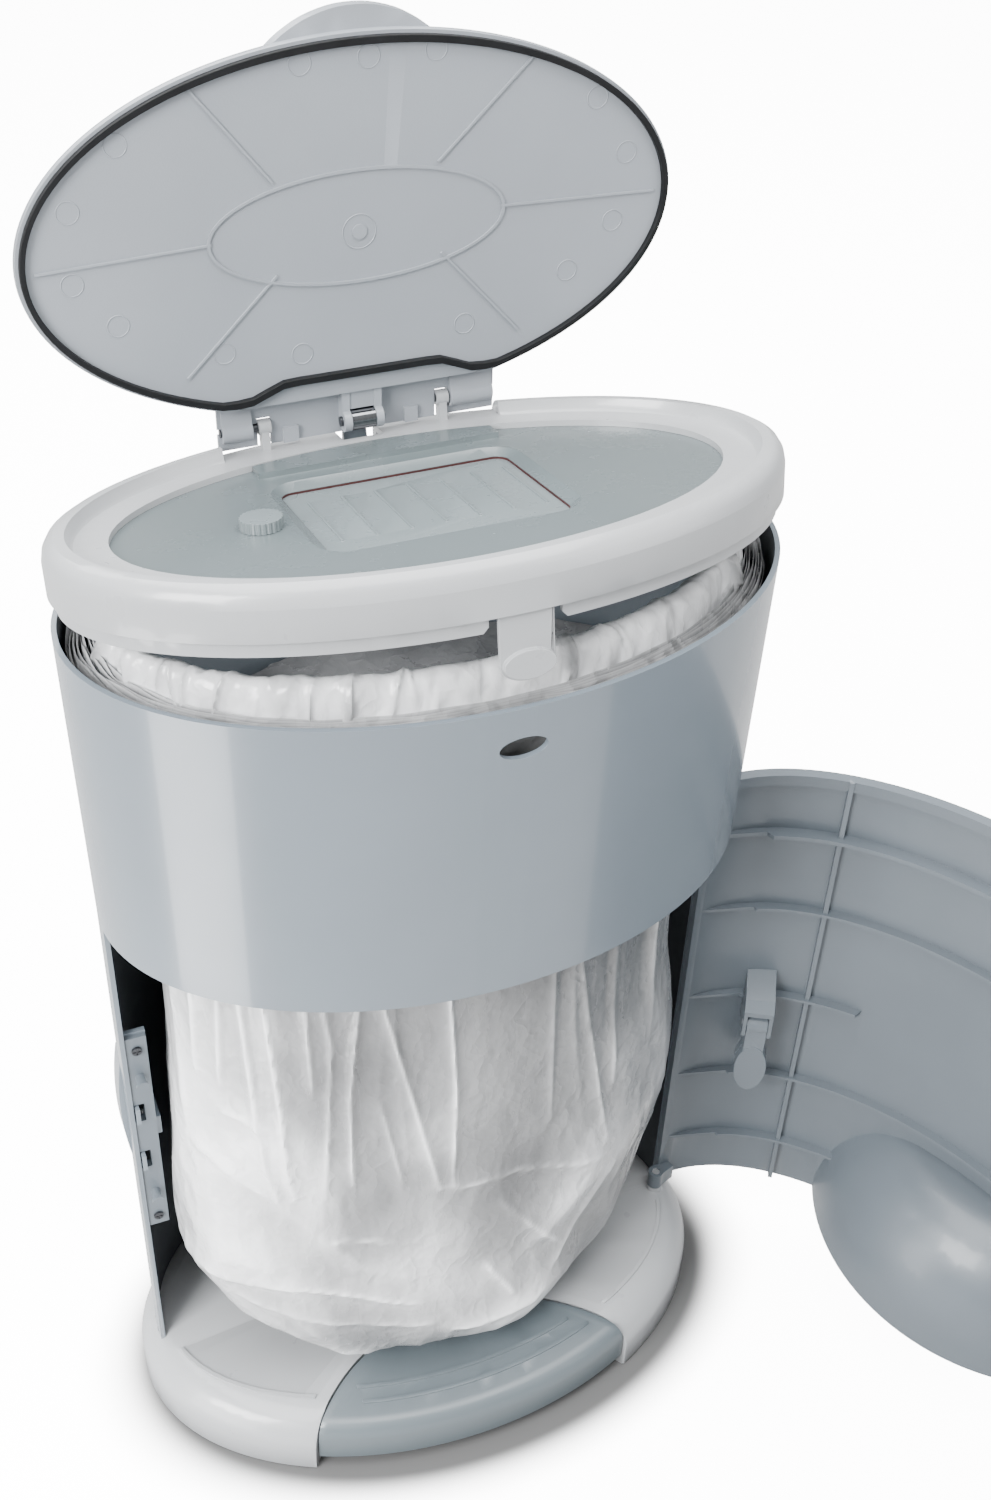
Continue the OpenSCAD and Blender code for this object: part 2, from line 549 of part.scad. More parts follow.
module lid_hinge_lugs() on_lid() color(grey) {
  difference() {
    union() {
      difference() {
        box(-82, 82, 95.6, lh_y+11, lid_z+9.4, lid_z+12);
        for (x = KNUCKLES) box(x-3.9, x+3.9, lh_y-5.4, lh_y+12, lid_z, lid_z+20);
        box(-7.6, 7.6, lh_y+5, lh_y+12, lid_z, lid_z+20);
      }
      // outer lugs with a sloped face
      for (k = [[-80, 17], [54.5, 25.5]]) {
        rodx(6.2, k[0], k[0]+k[1], lh_y, lh_z);
        translate([k[0], 0, 0]) rotate([90, 0, 90]) linear_extrude(k[1])
          polygon([[lh_y-16, lid_z+9.5], [lh_y-4.2, lh_z-4.55], [lh_y+0.1, lh_z-4], [lh_y+0.1, lid_z+12], [lh_y-16, lid_z+12]]);
      }
      // low tabs on the edge of the plate
      box(-45, -36, lh_y+2, lh_y+11, lid_z+7, lid_z+9.5);
      box(27, 35, lh_y+2, lh_y+11, lid_z+7, lid_z+9.5);
      // roller housing
      for (s = [-1, 1]) {
        box(s > 0 ? 7.2 : -11.6, s > 0 ? 11.6 : -7.2, 95.6, lh_y+3, lid_z+2, lid_z+12);
        rodx(6.2, s > 0 ? 7.2 : -11.6, s > 0 ? 11.6 : -7.2, lh_y+1.5, lid_z+3);
      }
      box(-11.6, 11.6, 95.6, 106.8, lid_z+2.6, lid_z+12);
    }
    rodx(2.55, KNUCKLES[1]-3.9, 100, lh_y, lh_z);
    rodx(2.55, -100, KNUCKLES[0]+3.9, lh_y, lh_z);
    rodx(1.75, -20, 20, lh_y+1.5, lid_z+3);
  }
}
module lid_pins() on_collar() color(steel) {
  rodx(2.5, KNUCKLES[1]-3.7, 81, lh_y, lh_z, 48);
  rodx(2.5, -81, KNUCKLES[0]+3.7, lh_y, lh_z, 48);
}
module lid_roller() on_lid() color(steel) difference() {
  rodx(6, -6.9, 6.9, lh_y+1.5, lid_z+3, 64);
  rodx(1.8, -9, 9, lh_y+1.5, lid_z+3, 48);
}
module roller_pin() on_lid() color(steel) {
  rodx(1.75, -12.6, 12.6, lh_y+1.5, lid_z+3, 48);
  for (s = [-1, 1]) rodx(2.9, s > 0 ? 11.6 : -13, s > 0 ? 13 : -11.6, lh_y+1.5, lid_z+3, 32);
}

// door, drawn closed and swung open about the hinge line
module door_in(z0, z1) { col(low_a-door_t, low_b-door_t, z0, z1, fy); }
module toe_dome(d) {
  translate([0, cut_y, door_lo]) rotate_extrude($fn = 144)
    polygon(concat([[0, -d*20]], [[cut_r+3.5-d, -d*20]],
      [for (t = [0:6:84]) [82-d+(cut_r+3.5-82)*cos(t), (95-d)*sin(t)]], [[0, 95-d]]));
}
module door_panel() on_door() color(grey) {
  difference() {
    union() {
      difference() {
        col(low_a-0.2, low_b-0.2, door_lo, door_hi, fy);
        door_in(0, 800);
      }
      // horizontal ribs and top lip
      difference() {
        union() {
          for (z = [93.1, 327.9]) col(low_a-door_t+0.1, low_b-door_t+0.1, z-1.2, z+1.2, fy);
          col(low_a-door_t+0.1, low_b-door_t+0.1, 393.2, 396.2, fy);
          difference() {
            union() for (z = [163.3, 244.7]) col(low_a-door_t+0.1, low_b-door_t+0.1, z-1.2, z+1.2, fy);
            box(-300, 105, -300, 300, 200, 300);
          }
          col(low_a-door_t+0.1, low_b-door_t+0.1, door_hi-8, door_hi, fy);
        }
        col(low_a-door_t-6.5, low_b-door_t-6.5, 0, 380, fy);
        col(low_a-door_t-9, low_b-door_t-9, 379, 420, fy);
        col(low_a-door_t-4, low_b-door_t-4, 419, 800, fy);
        // ribs run out to nothing near the hinge and stop at the cutter bracket
        translate([0, 0, door_lo]) linear_extrude(370)
          polygon([[low_a-door_t, -12], [170.5, -46], [100, -46], [100, 10], [low_a-door_t, 10]]);
        translate([165, -60, 245]) rotate([0, 0, 131]) translate([-20, -10.2, -24.2]) cube([34, 20.4, 51.6]);
      }
      // upright ribs
      for (x = [-139, 139]) intersection() {
        translate([x, -81, door_lo]) rotate([0, 0, x > 0 ? 131 : 49]) translate([-4, -1.5, 0]) cube([10, 3, door_hi-door_lo]);
        difference() { col(low_a-door_t+0.1, low_b-door_t+0.1, 0, 800, fy); col(low_a-door_t-5, low_b-door_t-5, 0, 800, fy); }
      }
      // toe recess
      intersection() { toe_dome(0); col(low_a-1, low_b-1, door_lo, 300, fy); }
      // hinge barrels
      for (z = [door_lo, door_hi-14]) {
        translate([dh_x, dh_y, z]) cylinder(r = 5.5, h = 14, $fn = 48);
        intersection() { box(dh_x-5, 197, dh_y-14, dh_y, z, z+14); col(low_a-0.2, low_b-0.2, 0, 800, fy); }
      }
      // catch ears at the free edge
      for (z = [212, 324]) box(-193, -183, -24, -13.5, z, z+3);
    }
    toe_dome(3);
    // free edge and hinge edge
    box(-250, 0, -8, 300, 0, 800);
    difference() {
      box(0, 250, -11, 300, 0, 800);
      for (z = [door_lo, door_hi-14]) {
        translate([dh_x, dh_y, z]) cylinder(r = 5.5, h = 14, $fn = 48);
        box(dh_x-5.4, dh_x+4, -13, dh_y, z, z+14);
      }
    }
    for (z = [door_lo, door_hi-14]) translate([dh_x, dh_y, z-5]) cylinder(r = 3.05, h = 24, $fn = 64);
    box(150, 250, -30, 30, door_lo-10, door_lo-0.01);
  }
}
module door_pins() color(steel) {
  translate([dh_x, dh_y, door_lo-13]) cylinder(r = 3, h = 26, $fn = 64);
  translate([dh_x, dh_y, door_hi-13]) cylinder(r = 3, h = 25, $fn = 64);
}
// film cutter, local x points away from the door wall
module on_cutter() { on_door() translate([165, -60, 245]) rotate([0, 0, 131]) children(); }
module cutter_bracket() color(grey) difference() {
  intersection() {
    on_cutter() translate([0, 10, 0]) rotate([90, 0, 0]) linear_extrude(20)
      polygon([[-20, -24], [12, -24], [20, -20], [30, -17], [30, 6], [24, 13], [-20, 27]]);
    on_door() door_in(0, 800);
  }
  on_cutter() translate([13.5, -7.3, -60]) cube([40, 14.6, 62]);
  on_cutter() translate([24, 10.1, -9]) rotate([90, 0, 0]) cylinder(r = 2, h = 20.2, $fn = 48);
}
module cutter_lever() on_cutter() color(grey) difference() {
  union() {
    // link that hangs in the bracket
    translate([24, 7, -9]) rotate([90, 0, 0]) cylinder(r = 7, h = 14, $fn = 48);
    translate([17, -7, -44]) cube([13.4, 14, 35]);
    // round-ended guard
    translate([17.5, 0, -49]) rotate([90, 0, 90]) linear_extrude(13.4) oval(11, 22, 48);
  }
  // seam between the two halves of the guard
  difference() {
    translate([23.8, -20, -75]) cube([0.8, 40, 47.5]);
    translate([20, 0, -49]) rotate([90, 0, 90]) linear_extrude(10) oval(10.2, 21.2, 48);
  }
  translate([24, 20, -9]) rotate([90, 0, 0]) cylinder(r = 2.05, h = 40, $fn = 48);
  // slit for the blade
  translate([20, -12, -60]) cube([6, 7, 16]);
}
module cutter_blade() on_cutter() color(steel)
  translate([22.6, 0, 0]) rotate([90, 0, 90]) linear_extrude(0.8)
    polygon([[-5, -59.9], [-5.2, -44.1], [-9.2, -44.1], [-9.2, -50]]);
module cutter_pin() on_cutter() color(steel)
  translate([24, 10, -9]) rotate([90, 0, 0]) cylinder(r = 2, h = 20, $fn = 48);

base();
base_floor();
base_feet();
body_shell();
rod_guides();
latch_plate();
latch_screws();
latch_pegs();
door_release();
release_spring();
film_tray();
film_pack();
film_roll();
liner_bag();
push_rod();
pedal_pad();
pedal_lever();
pedal_screws();
pedal_axle();
pedal_spring();
collar_pins();
collar_ring();
trap_panel();
trap_flap();
flap_gasket();
flap_pin();
flap_spring();
turn_knob();
latch_tongue();
lid_outer();
lid_inner();
lid_seal();
lid_hinge_lugs();
lid_pins();
lid_roller();
roller_pin();
door_panel();
door_pins();
cutter_bracket();
cutter_lever();
cutter_blade();
cutter_pin();
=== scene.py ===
"""Dressed model of an oval pedal nappy bin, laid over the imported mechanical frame.

The film pieces and the lid's marks are worked out in millimetres, everything else in metres.
"""

from __future__ import annotations

import json
import logging
import math
from dataclasses import dataclass, replace
from enum import Enum
from typing import Iterable, Sequence

import bmesh
import bpy
import numpy as np
from mathutils import Matrix

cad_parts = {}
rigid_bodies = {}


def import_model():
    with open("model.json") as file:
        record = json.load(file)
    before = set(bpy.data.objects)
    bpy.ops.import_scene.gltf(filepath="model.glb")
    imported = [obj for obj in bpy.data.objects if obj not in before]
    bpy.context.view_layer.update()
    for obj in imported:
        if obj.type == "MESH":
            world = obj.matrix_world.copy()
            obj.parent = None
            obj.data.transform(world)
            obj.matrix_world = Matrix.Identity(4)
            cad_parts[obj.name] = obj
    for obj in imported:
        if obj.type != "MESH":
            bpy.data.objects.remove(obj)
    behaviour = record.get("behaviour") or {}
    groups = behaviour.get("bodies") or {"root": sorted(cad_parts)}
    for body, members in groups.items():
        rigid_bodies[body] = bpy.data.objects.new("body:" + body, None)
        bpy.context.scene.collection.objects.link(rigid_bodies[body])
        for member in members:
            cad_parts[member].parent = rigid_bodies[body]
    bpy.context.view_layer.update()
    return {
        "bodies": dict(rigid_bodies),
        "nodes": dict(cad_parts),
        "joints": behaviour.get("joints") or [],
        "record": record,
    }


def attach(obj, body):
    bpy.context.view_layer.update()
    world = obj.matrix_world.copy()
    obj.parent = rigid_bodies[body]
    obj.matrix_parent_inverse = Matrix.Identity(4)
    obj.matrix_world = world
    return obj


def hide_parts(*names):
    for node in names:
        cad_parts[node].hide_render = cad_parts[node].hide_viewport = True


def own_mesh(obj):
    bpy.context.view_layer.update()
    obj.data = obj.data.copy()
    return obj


log = logging.getLogger("nappy_bin")
MM = 0.001
TURN = 2 * math.pi
MIDDLE = 0.0045  # the body's ovals have their middle this far behind the origin
# the film's painted light and shade, per point: lighter on bulges, ridges and crests, darker in hollows,
# gathers and valleys
PAINTED_LIGHT_TONE = "painted_light_tone"  # attribute that says how light a point of the film is


# --------------------------------------------------------------------------- places


class Axis(Enum):
    """An axis to turn about, as the two rows of a matrix that the turn mixes."""

    X = (1, 2)
    Z = (0, 1)


class Body(Enum):
    """The frame's bodies that new pieces ride on."""

    BODY = "body"
    COLLAR = "collar"
    CUTTER = "cutter"
    DOOR = "door"
    FLAP = "flap"
    KNOB = "knob"
    LID = "lid"
    PEDAL = "pedal"
    RELEASE = "release"
    TONGUE = "tongue"


class Slot(Enum):
    """The record's material slots, kept with each finish."""

    WHITE = "white_plastic"
    BLUE = "blue_plastic"
    GREY = "grey_plastic"
    PALE = "pale_plastic"
    BLACK_RUBBER = "black_rubber"
    DARK_RUBBER = "dark_rubber"
    STEEL = "bright_steel"
    FILM = "film"


@dataclass(frozen=True)
class Place:
    """A rigid place: where a group drawn in its closed position stands at rest."""

    matrix: np.ndarray

    @staticmethod
    def turned(axis: Axis, degrees: float, pivot: Sequence[float]) -> "Place":
        """A turn about an axis through a pivot.

        Args:
            axis: the axis.
            degrees: angle by the right-hand rule.
            pivot: point on the axis.

        Returns:
            The place p' = R (p - pivot) + pivot.
        """
        a = math.radians(degrees)
        c, s = math.cos(a), math.sin(a)
        m = np.eye(4)
        m[np.ix_(axis.value, axis.value)] = [[c, -s], [s, c]]
        p = np.asarray(pivot, float)
        m[:3, 3] = p - m[:3, :3] @ p
        return Place(m)

    def then(self, inner: "Place") -> "Place":
        """This place applied after an inner one."""
        return Place(self.matrix @ inner.matrix)

    def put(self, points: np.ndarray) -> np.ndarray:
        """Points of shape (n, 3) moved from the closed position to rest."""
        return self.turn(points) + self.matrix[:3, 3]

    def back(self, points: np.ndarray) -> np.ndarray:
        """Points of shape (n, 3) moved from rest to the closed position."""
        return self.turn_back(points - self.matrix[:3, 3])

    def turn(self, directions: np.ndarray) -> np.ndarray:
        """Directions of shape (n, 3) turned from the closed position to rest."""
        return directions @ self.matrix[:3, :3].T

    def turn_back(self, directions: np.ndarray) -> np.ndarray:
        """Directions of shape (n, 3) turned from rest to the closed position."""
        return directions @ self.matrix[:3, :3]


FIXED = Place(np.eye(4))
COLLAR = Place.turned(Axis.X, -10.8, (0, 0.138, 0.648))
LID = COLLAR.then(Place.turned(Axis.X, -81.0, (0, 0.112, 0.6743)))
DOOR = Place.turned(Axis.Z, 110.0, (0.189, -0.0055, 0))


@dataclass(frozen=True)
class Oval:
    """An oval outline x = a cos t, y = cy + b sin t."""

    a: float
    b: float
    cy: float = MIDDLE


BASE_OVAL = Oval(0.209, 0.1338, 0.0)
BODY_OVAL = Oval(0.1972, 0.1263)


# --------------------------------------------------------------------------- finishes


class Ease(Enum):
    """How a remapped value goes from one end to the other."""

    STRAIGHT = "LINEAR"
    SMOOTH = "SMOOTHSTEP"
    SMOOTHER = "SMOOTHERSTEP"


@dataclass(frozen=True)
class Grain:
    """A noise pattern on object coordinates.

    Attributes:
        scale: grains per metre.
        detail: octaves.
        rough: weight of the finer octaves.
        stretch: scale along x, y and z before the noise.
    """

    scale: float
    detail: float = 2.0
    rough: float = 0.5
    stretch: tuple[float, float, float] = (1, 1, 1)


class Wiring:
    """A small hand for wiring one node tree."""

    def __init__(self, tree: bpy.types.NodeTree) -> None:
        """Takes the tree to work on."""
        self.tree = tree

    def add(self, kind: str, **values: object) -> bpy.types.Node:
        """Adds a node.

        Args:
            kind: Blender's name of the node's type.
            values: its properties, by name.

        Returns:
            The new node.
        """
        node = self.tree.nodes.new(kind)
        for key, value in values.items():
            setattr(node, key, value)
        return node

    def link(self, a: bpy.types.Node, out: str | int, b: bpy.types.Node, into: str | int) -> None:
        """Joins an output socket of a to an input socket of b."""
        self.tree.links.new(a.outputs[out], b.inputs[into])

    @staticmethod
    def fill(node: bpy.types.Node, **numbers: object) -> None:
        """Sets a node's own sockets by name; underscores stand for spaces."""
        for key, value in numbers.items():
            node.inputs[key.replace("_", " ")].default_value = value

    def remap(self, source: bpy.types.Node, out: str | int, span: Sequence[float], to: Sequence[float],
              ease: Ease = Ease.STRAIGHT) -> bpy.types.Node:
        """Maps a value from one span onto another, held at both ends.

        Args:
            source: node that gives the value.
            out: its output.
            span: lowest and highest value taken.
            to: what they become.
            ease: how it goes between them.

        Returns:
            The node; its output is Result.
        """
        node = self.add("ShaderNodeMapRange", interpolation_type=ease.value)
        self.fill(node, From_Min=span[0], From_Max=span[1], To_Min=to[0], To_Max=to[1])
        self.link(source, out, node, "Value")
        return node

    def product(self, a: bpy.types.Node, out_a: str, b: bpy.types.Node, out_b: str) -> bpy.types.Node:
        """Multiplies two values.

        Args:
            a: node that gives the first.
            out_a: its output.
            b: node that gives the second.
            out_b: its output.

        Returns:
            The node; its only output is the product.
        """
        node = self.add("ShaderNodeMath", operation="MULTIPLY")
        self.link(a, out_a, node, 0)
        self.link(b, out_b, node, 1)
        return node

    def mapping(self, source: bpy.types.Node, out: str | int, scale: Sequence[float],
                shift: Sequence[float] = (0, 0, 0)) -> bpy.types.Node:
        """Scales and shifts coordinates.

        Args:
            source: node that gives them.
            out: its output.
            scale: factors along x, y and z.
            shift: what is added after that.

        Returns:
            The node; its output is Vector.
        """
        node = self.add("ShaderNodeMapping")
        self.fill(node, Location=shift, Scale=scale)
        self.link(source, out, node, "Vector")
        return node


class MaterialNodes(Wiring):
    """The node tree of a new material with a Principled shader."""

    def __init__(self, name: str) -> None:
        """Starts the tree with an output, a shader and object coordinates.

        Args:
            name: name of the new material.
        """
        self.material = bpy.data.materials.new(name)
        self.material.use_nodes = True
        super().__init__(self.material.node_tree)
        self.tree.nodes.clear()
        self.shader = self.add("ShaderNodeBsdfPrincipled")
        self.link(self.shader, "BSDF", self.add("ShaderNodeOutputMaterial"), "Surface")
        self.coords = self.add("ShaderNodeTexCoord")

    def noise(self, grain: Grain) -> bpy.types.Node:
        """A noise texture on object coordinates.

        Args:
            grain: its pattern.

        Returns:
            The node; its first output is the value and its second a colour.
        """
        node = self.add("ShaderNodeTexNoise")
        self.fill(node, Scale=grain.scale, Detail=grain.detail, Roughness=grain.rough)
        self.link(self.mapping(self.coords, "Object", grain.stretch), "Vector", node, "Vector")
        return node

    def ramp(self, source: bpy.types.Node, stops: Iterable[tuple[float, Sequence[float]]]) -> bpy.types.Node:
        """Colours the first output of a node.

        Args:
            source: node that gives the value.
            stops: values with their colours, in rising order.

        Returns:
            The colour ramp; its output is Color.
        """
        ramp = self.add("ShaderNodeValToRGB")
        elements = ramp.color_ramp.elements
        for i, (value, colour) in enumerate(stops):
            element = elements[i] if i < 2 else elements.new(value)
            element.position = value
            element.color = (*colour, 1.0)
        self.link(source, 0, ramp, "Fac")
        return ramp

    def span(self, source: bpy.types.Node, low: float, high: float) -> bpy.types.Node:
        """Maps the 0.3 to 0.7 that a noise mostly gives onto low to high."""
        return self.remap(source, 0, (0.3, 0.7), (low, high))

    def bump(self, source: bpy.types.Node, strength: float, depth: float,
             below: bpy.types.Node | None = None) -> bpy.types.Node:
        """A bump from the first output of a node.

        Args:
            source: node that gives the height.
            strength: how much of the bump is shown.
            depth: its depth in metres.
            below: a broader bump that it lies on.

        Returns:
            The node; its output is Normal.
        """
        node = self.add("ShaderNodeBump")
        self.fill(node, Strength=strength, Distance=depth)
        self.link(source, 0, node, "Height")
        if below is not None:
            self.link(below, "Normal", node, "Normal")
        return node

    def finish(self, colour: bpy.types.Node, rough: bpy.types.Node, relief: bpy.types.Node,
               **numbers: object) -> bpy.types.Material:
        """Joins the patterns to the shader.

        Args:
            colour: ramp that gives the base colour.
            rough: remapped value that gives the roughness.
            relief: bump that gives the normal.
            numbers: the shader's own sockets, by name.

        Returns:
            The finished material.
        """
        self.link(colour, "Color", self.shader, "Base Color")
        self.link(rough, "Result", self.shader, "Roughness")
        self.link(relief, "Normal", self.shader, "Normal")
        self.fill(self.shader, **numbers)
        return self.material


@dataclass(frozen=True)
class MouldedPlastic:
    """Injection-moulded plastic: tint with slow mottling, fine grain and uneven gloss.

    Attributes:
        name: name of the material.
        slot: material slot of the record; not used.
        tint: base colour.
        rough: middle roughness.
        coat: weight of the clear coat.
        grain: depth of the fine grain in metres.
        mottle: share by which the tint varies.
        ripple: depth of the broad ripple in metres, 0 for none.
        coat_rough: roughness of the clear coat.
        gloss: factors for the roughness where it is glossiest and dullest.
        relief: strength of both bumps.
        clouds: pattern of the mottling.
        smears: pattern of the gloss.
        pores: pattern of the fine grain.
        waves: pattern of the ripple.
    """

    name: str
    slot: Slot
    tint: tuple[float, float, float]
    rough: float = 0.4
    coat: float = 0.0
    grain: float = 0.00003
    mottle: float = 0.03
    ripple: float = 0.0
    coat_rough: float = 0.08
    gloss: tuple[float, float] = (0.9, 1.12)
    relief: float = 0.6
    clouds: Grain = Grain(9.0, 3.0, 0.55)
    smears: Grain = Grain(34.0, 4.0, 0.6)
    pores: Grain = Grain(850.0, 2.0, 0.6)
    waves: Grain = Grain(16.0, 1.0, 0.4)

    def make(self) -> bpy.types.Material:
        """Builds the node material.

        Returns:
            The new material.
        """
        n = MaterialNodes(self.name)
        dark = [c * (1 - self.mottle) for c in self.tint]
        light = [min(1.0, c * (1 + self.mottle)) for c in self.tint]
        tint = n.ramp(n.noise(self.clouds), [(0.32, dark), (0.68, light)])
        gloss = n.span(n.noise(self.smears), *(self.rough * factor for factor in self.gloss))
        fine = n.bump(n.noise(self.pores), self.relief, self.grain)
        if self.ripple:
            fine = n.bump(n.noise(self.waves), self.relief, self.ripple, fine)
        return n.finish(tint, gloss, fine, Coat_Weight=self.coat, Coat_Roughness=self.coat_rough, IOR=1.5)


@dataclass(frozen=True)
class SealRubber:
    """Soft seal rubber with a dusty bloom.

    Attributes:
        name: name of the material.
        slot: material slot of the record; not used.
        tint: base colour.
        grain: depth of the fine grain in metres.
        bloom: pattern of the bloom.
        smears: pattern of the gloss.
        pores: pattern of the fine grain.
    """

    name: str
    slot: Slot
    tint: tuple[float, float, float]
    grain: float = 0.00004
    bloom: Grain = Grain(60.0, 4.0, 0.6)
    smears: Grain = Grain(140.0)
    pores: Grain = Grain(2200.0)

    def make(self) -> bpy.types.Material:
        """Builds the node material.

        Returns:
            The new material.
        """
        n = MaterialNodes(self.name)
        dusty = [c * 1.5 + 0.001 for c in self.tint]
        bloom = n.ramp(n.noise(self.bloom), [(0.35, self.tint), (0.75, dusty)])
        gloss = n.span(n.noise(self.smears), 0.5, 0.68)
        fine = n.bump(n.noise(self.pores), 0.5, self.grain)
        return n.finish(bloom, gloss, fine, Sheen_Weight=0.02, Sheen_Roughness=0.4, Specular_IOR_Level=0.25)


@dataclass(frozen=True)
class TurnedSteel:
    """Bright steel with fine lines along X, as left by turning or drawing.

    Attributes:
        name: name of the material.
        slot: material slot of the record; not used.
        tint: base colour.
        rough: middle roughness.
        grain: depth of the lines in metres.
        lines: pattern of the lines.
    """

    name: str
    slot: Slot = Slot.STEEL
    tint: tuple[float, float, float] = (0.72, 0.73, 0.75)
    rough: float = 0.22
    grain: float = 0.00002
    lines: Grain = Grain(900.0, 3.0, 0.6, (1, 0.06, 0.06))

    def make(self) -> bpy.types.Material:
        """Builds the node material.

        Returns:
            The new material.
        """
        n = MaterialNodes(self.name)
        lines = n.noise(self.lines)
        tone = n.ramp(lines, [(0.3, [c * 0.85 for c in self.tint]), (0.7, self.tint)])
        gloss = n.span(lines, self.rough * 0.8, self.rough * 1.4)
        return n.finish(tone, gloss, n.bump(lines, 0.3, self.grain), Metallic=1.0)


@dataclass(frozen=True)
class ThinFilm:
    """Milky polythene film: its colour follows the painted light and shade that the piece's own points hold,
    with fine creases and a soft sheen.

    Attributes:
        name: name of the material.
        slot: material slot of the record; not used.
        light: colour of the brightest painted light.
        dark: colour of the deepest painted shade in the folds.
        middle: share of light in the colour halfway.
        rough: middle roughness.
        cloudy: how much the milkiness shifts the tone.
        crease: depth of the long folds in metres.
        facet: depth of the facets in metres.
        scratch: depth of the fine creases in metres.
        facets: facets per metre.
        tall: scale of the facets along Z; below 1 draws them out.
        bent: how far the facets' places are bent, in metres.
        milk: pattern of the milkiness.
        folds: pattern of the long folds.
        creases: pattern of the fine creases.
        bends: pattern that bends the facets.
    """

    name: str
    slot: Slot
    light: tuple[float, float, float] = (0.84, 0.85, 0.865)
    dark: tuple[float, float, float] = (0.07, 0.072, 0.075)
    middle: float = 0.28
    rough: float = 0.27
    cloudy: float = 0.42
    crease: float = 0.0018
    facet: float = 0.0020
    scratch: float = 0.0003
    facets: float = 74.0
    tall: float = 0.45
    bent: float = 0.05
    milk: Grain = Grain(11.0, 5.0, 0.62)
    folds: Grain = Grain(24.0, 6.0, 0.6, (1.0, 1.0, 0.3))
    creases: Grain = Grain(130.0, 4.0, 0.65)
    bends: Grain = Grain(26.0, 3.0, 0.6)

    def make(self) -> bpy.types.Material:
        """Builds the node material.

        Returns:
            The new material.
        """
        n = MaterialNodes(self.name)
        half = [(1 - self.middle) * a + self.middle * b for a, b in zip(self.dark, self.light)]
        tone = n.ramp(self._tone_with_painted_light(n), [(0.0, self.dark), (0.5, half), (1.0, self.light)])
        folds = n.noise(self.folds)
        gloss = n.span(folds, self.rough * 0.8, self.rough * 1.3)
        broad = n.bump(folds, 0.75, self.crease)
        facets = n.bump(self._crinkle(n), 0.7, self.facet, broad)
        fine = n.bump(n.noise(self.creases), 0.5, self.scratch, facets)
        return n.finish(tone, gloss, fine, Subsurface_Weight=0.15, Subsurface_Scale=0.006,
                        Subsurface_Radius=(1.0, 1.0, 1.0), Coat_Weight=0.5, Coat_Roughness=0.16)

    def _tone_with_painted_light(self, n: MaterialNodes) -> bpy.types.Node:
        """The piece's own painted light and shade, shifted up and down by the milkiness: tone + cloudy (milk
        - 1/2).

        Args:
            n: the material's nodes.

        Returns:
            The node; its only output is the tone.
        """
        # painted light and shade held by the piece's points
        own = n.add("ShaderNodeAttribute", attribute_name=PAINTED_LIGHT_TONE)
        lowered = n.add("ShaderNodeMath", operation="SUBTRACT")
        n.link(own, "Fac", lowered, 0)
        lowered.inputs[1].default_value = self.cloudy / 2
        shifted = n.add("ShaderNodeMath", operation="MULTIPLY_ADD")
        n.link(n.noise(self.milk), 0, shifted, 0)
        shifted.inputs[1].default_value = self.cloudy
        n.link(lowered, 0, shifted, 2)
        return shifted

    def _crinkle(self, n: MaterialNodes) -> bpy.types.Node:
        """Flat facets meeting in sharp creases.

        The height is the distance to the nearest of scattered points, whose places are bent by a
        slow noise and drawn out along Z.

        Args:
            n: the material's nodes.

        Returns:
            The node; its first output is the height.
        """
        bend = n.add("ShaderNodeVectorMath", operation="MULTIPLY_ADD")
        n.link(n.noise(self.bends), 1, bend, 0)
        bend.inputs[1].default_value = (self.bent, self.bent, self.bent)
        n.link(n.coords, "Object", bend, 2)
        cells = n.add("ShaderNodeTexVoronoi")
        n.fill(cells, Scale=self.facets)
        n.link(n.mapping(bend, 0, (1.0, 1.0, self.tall)), "Vector", cells, "Vector")
        return cells


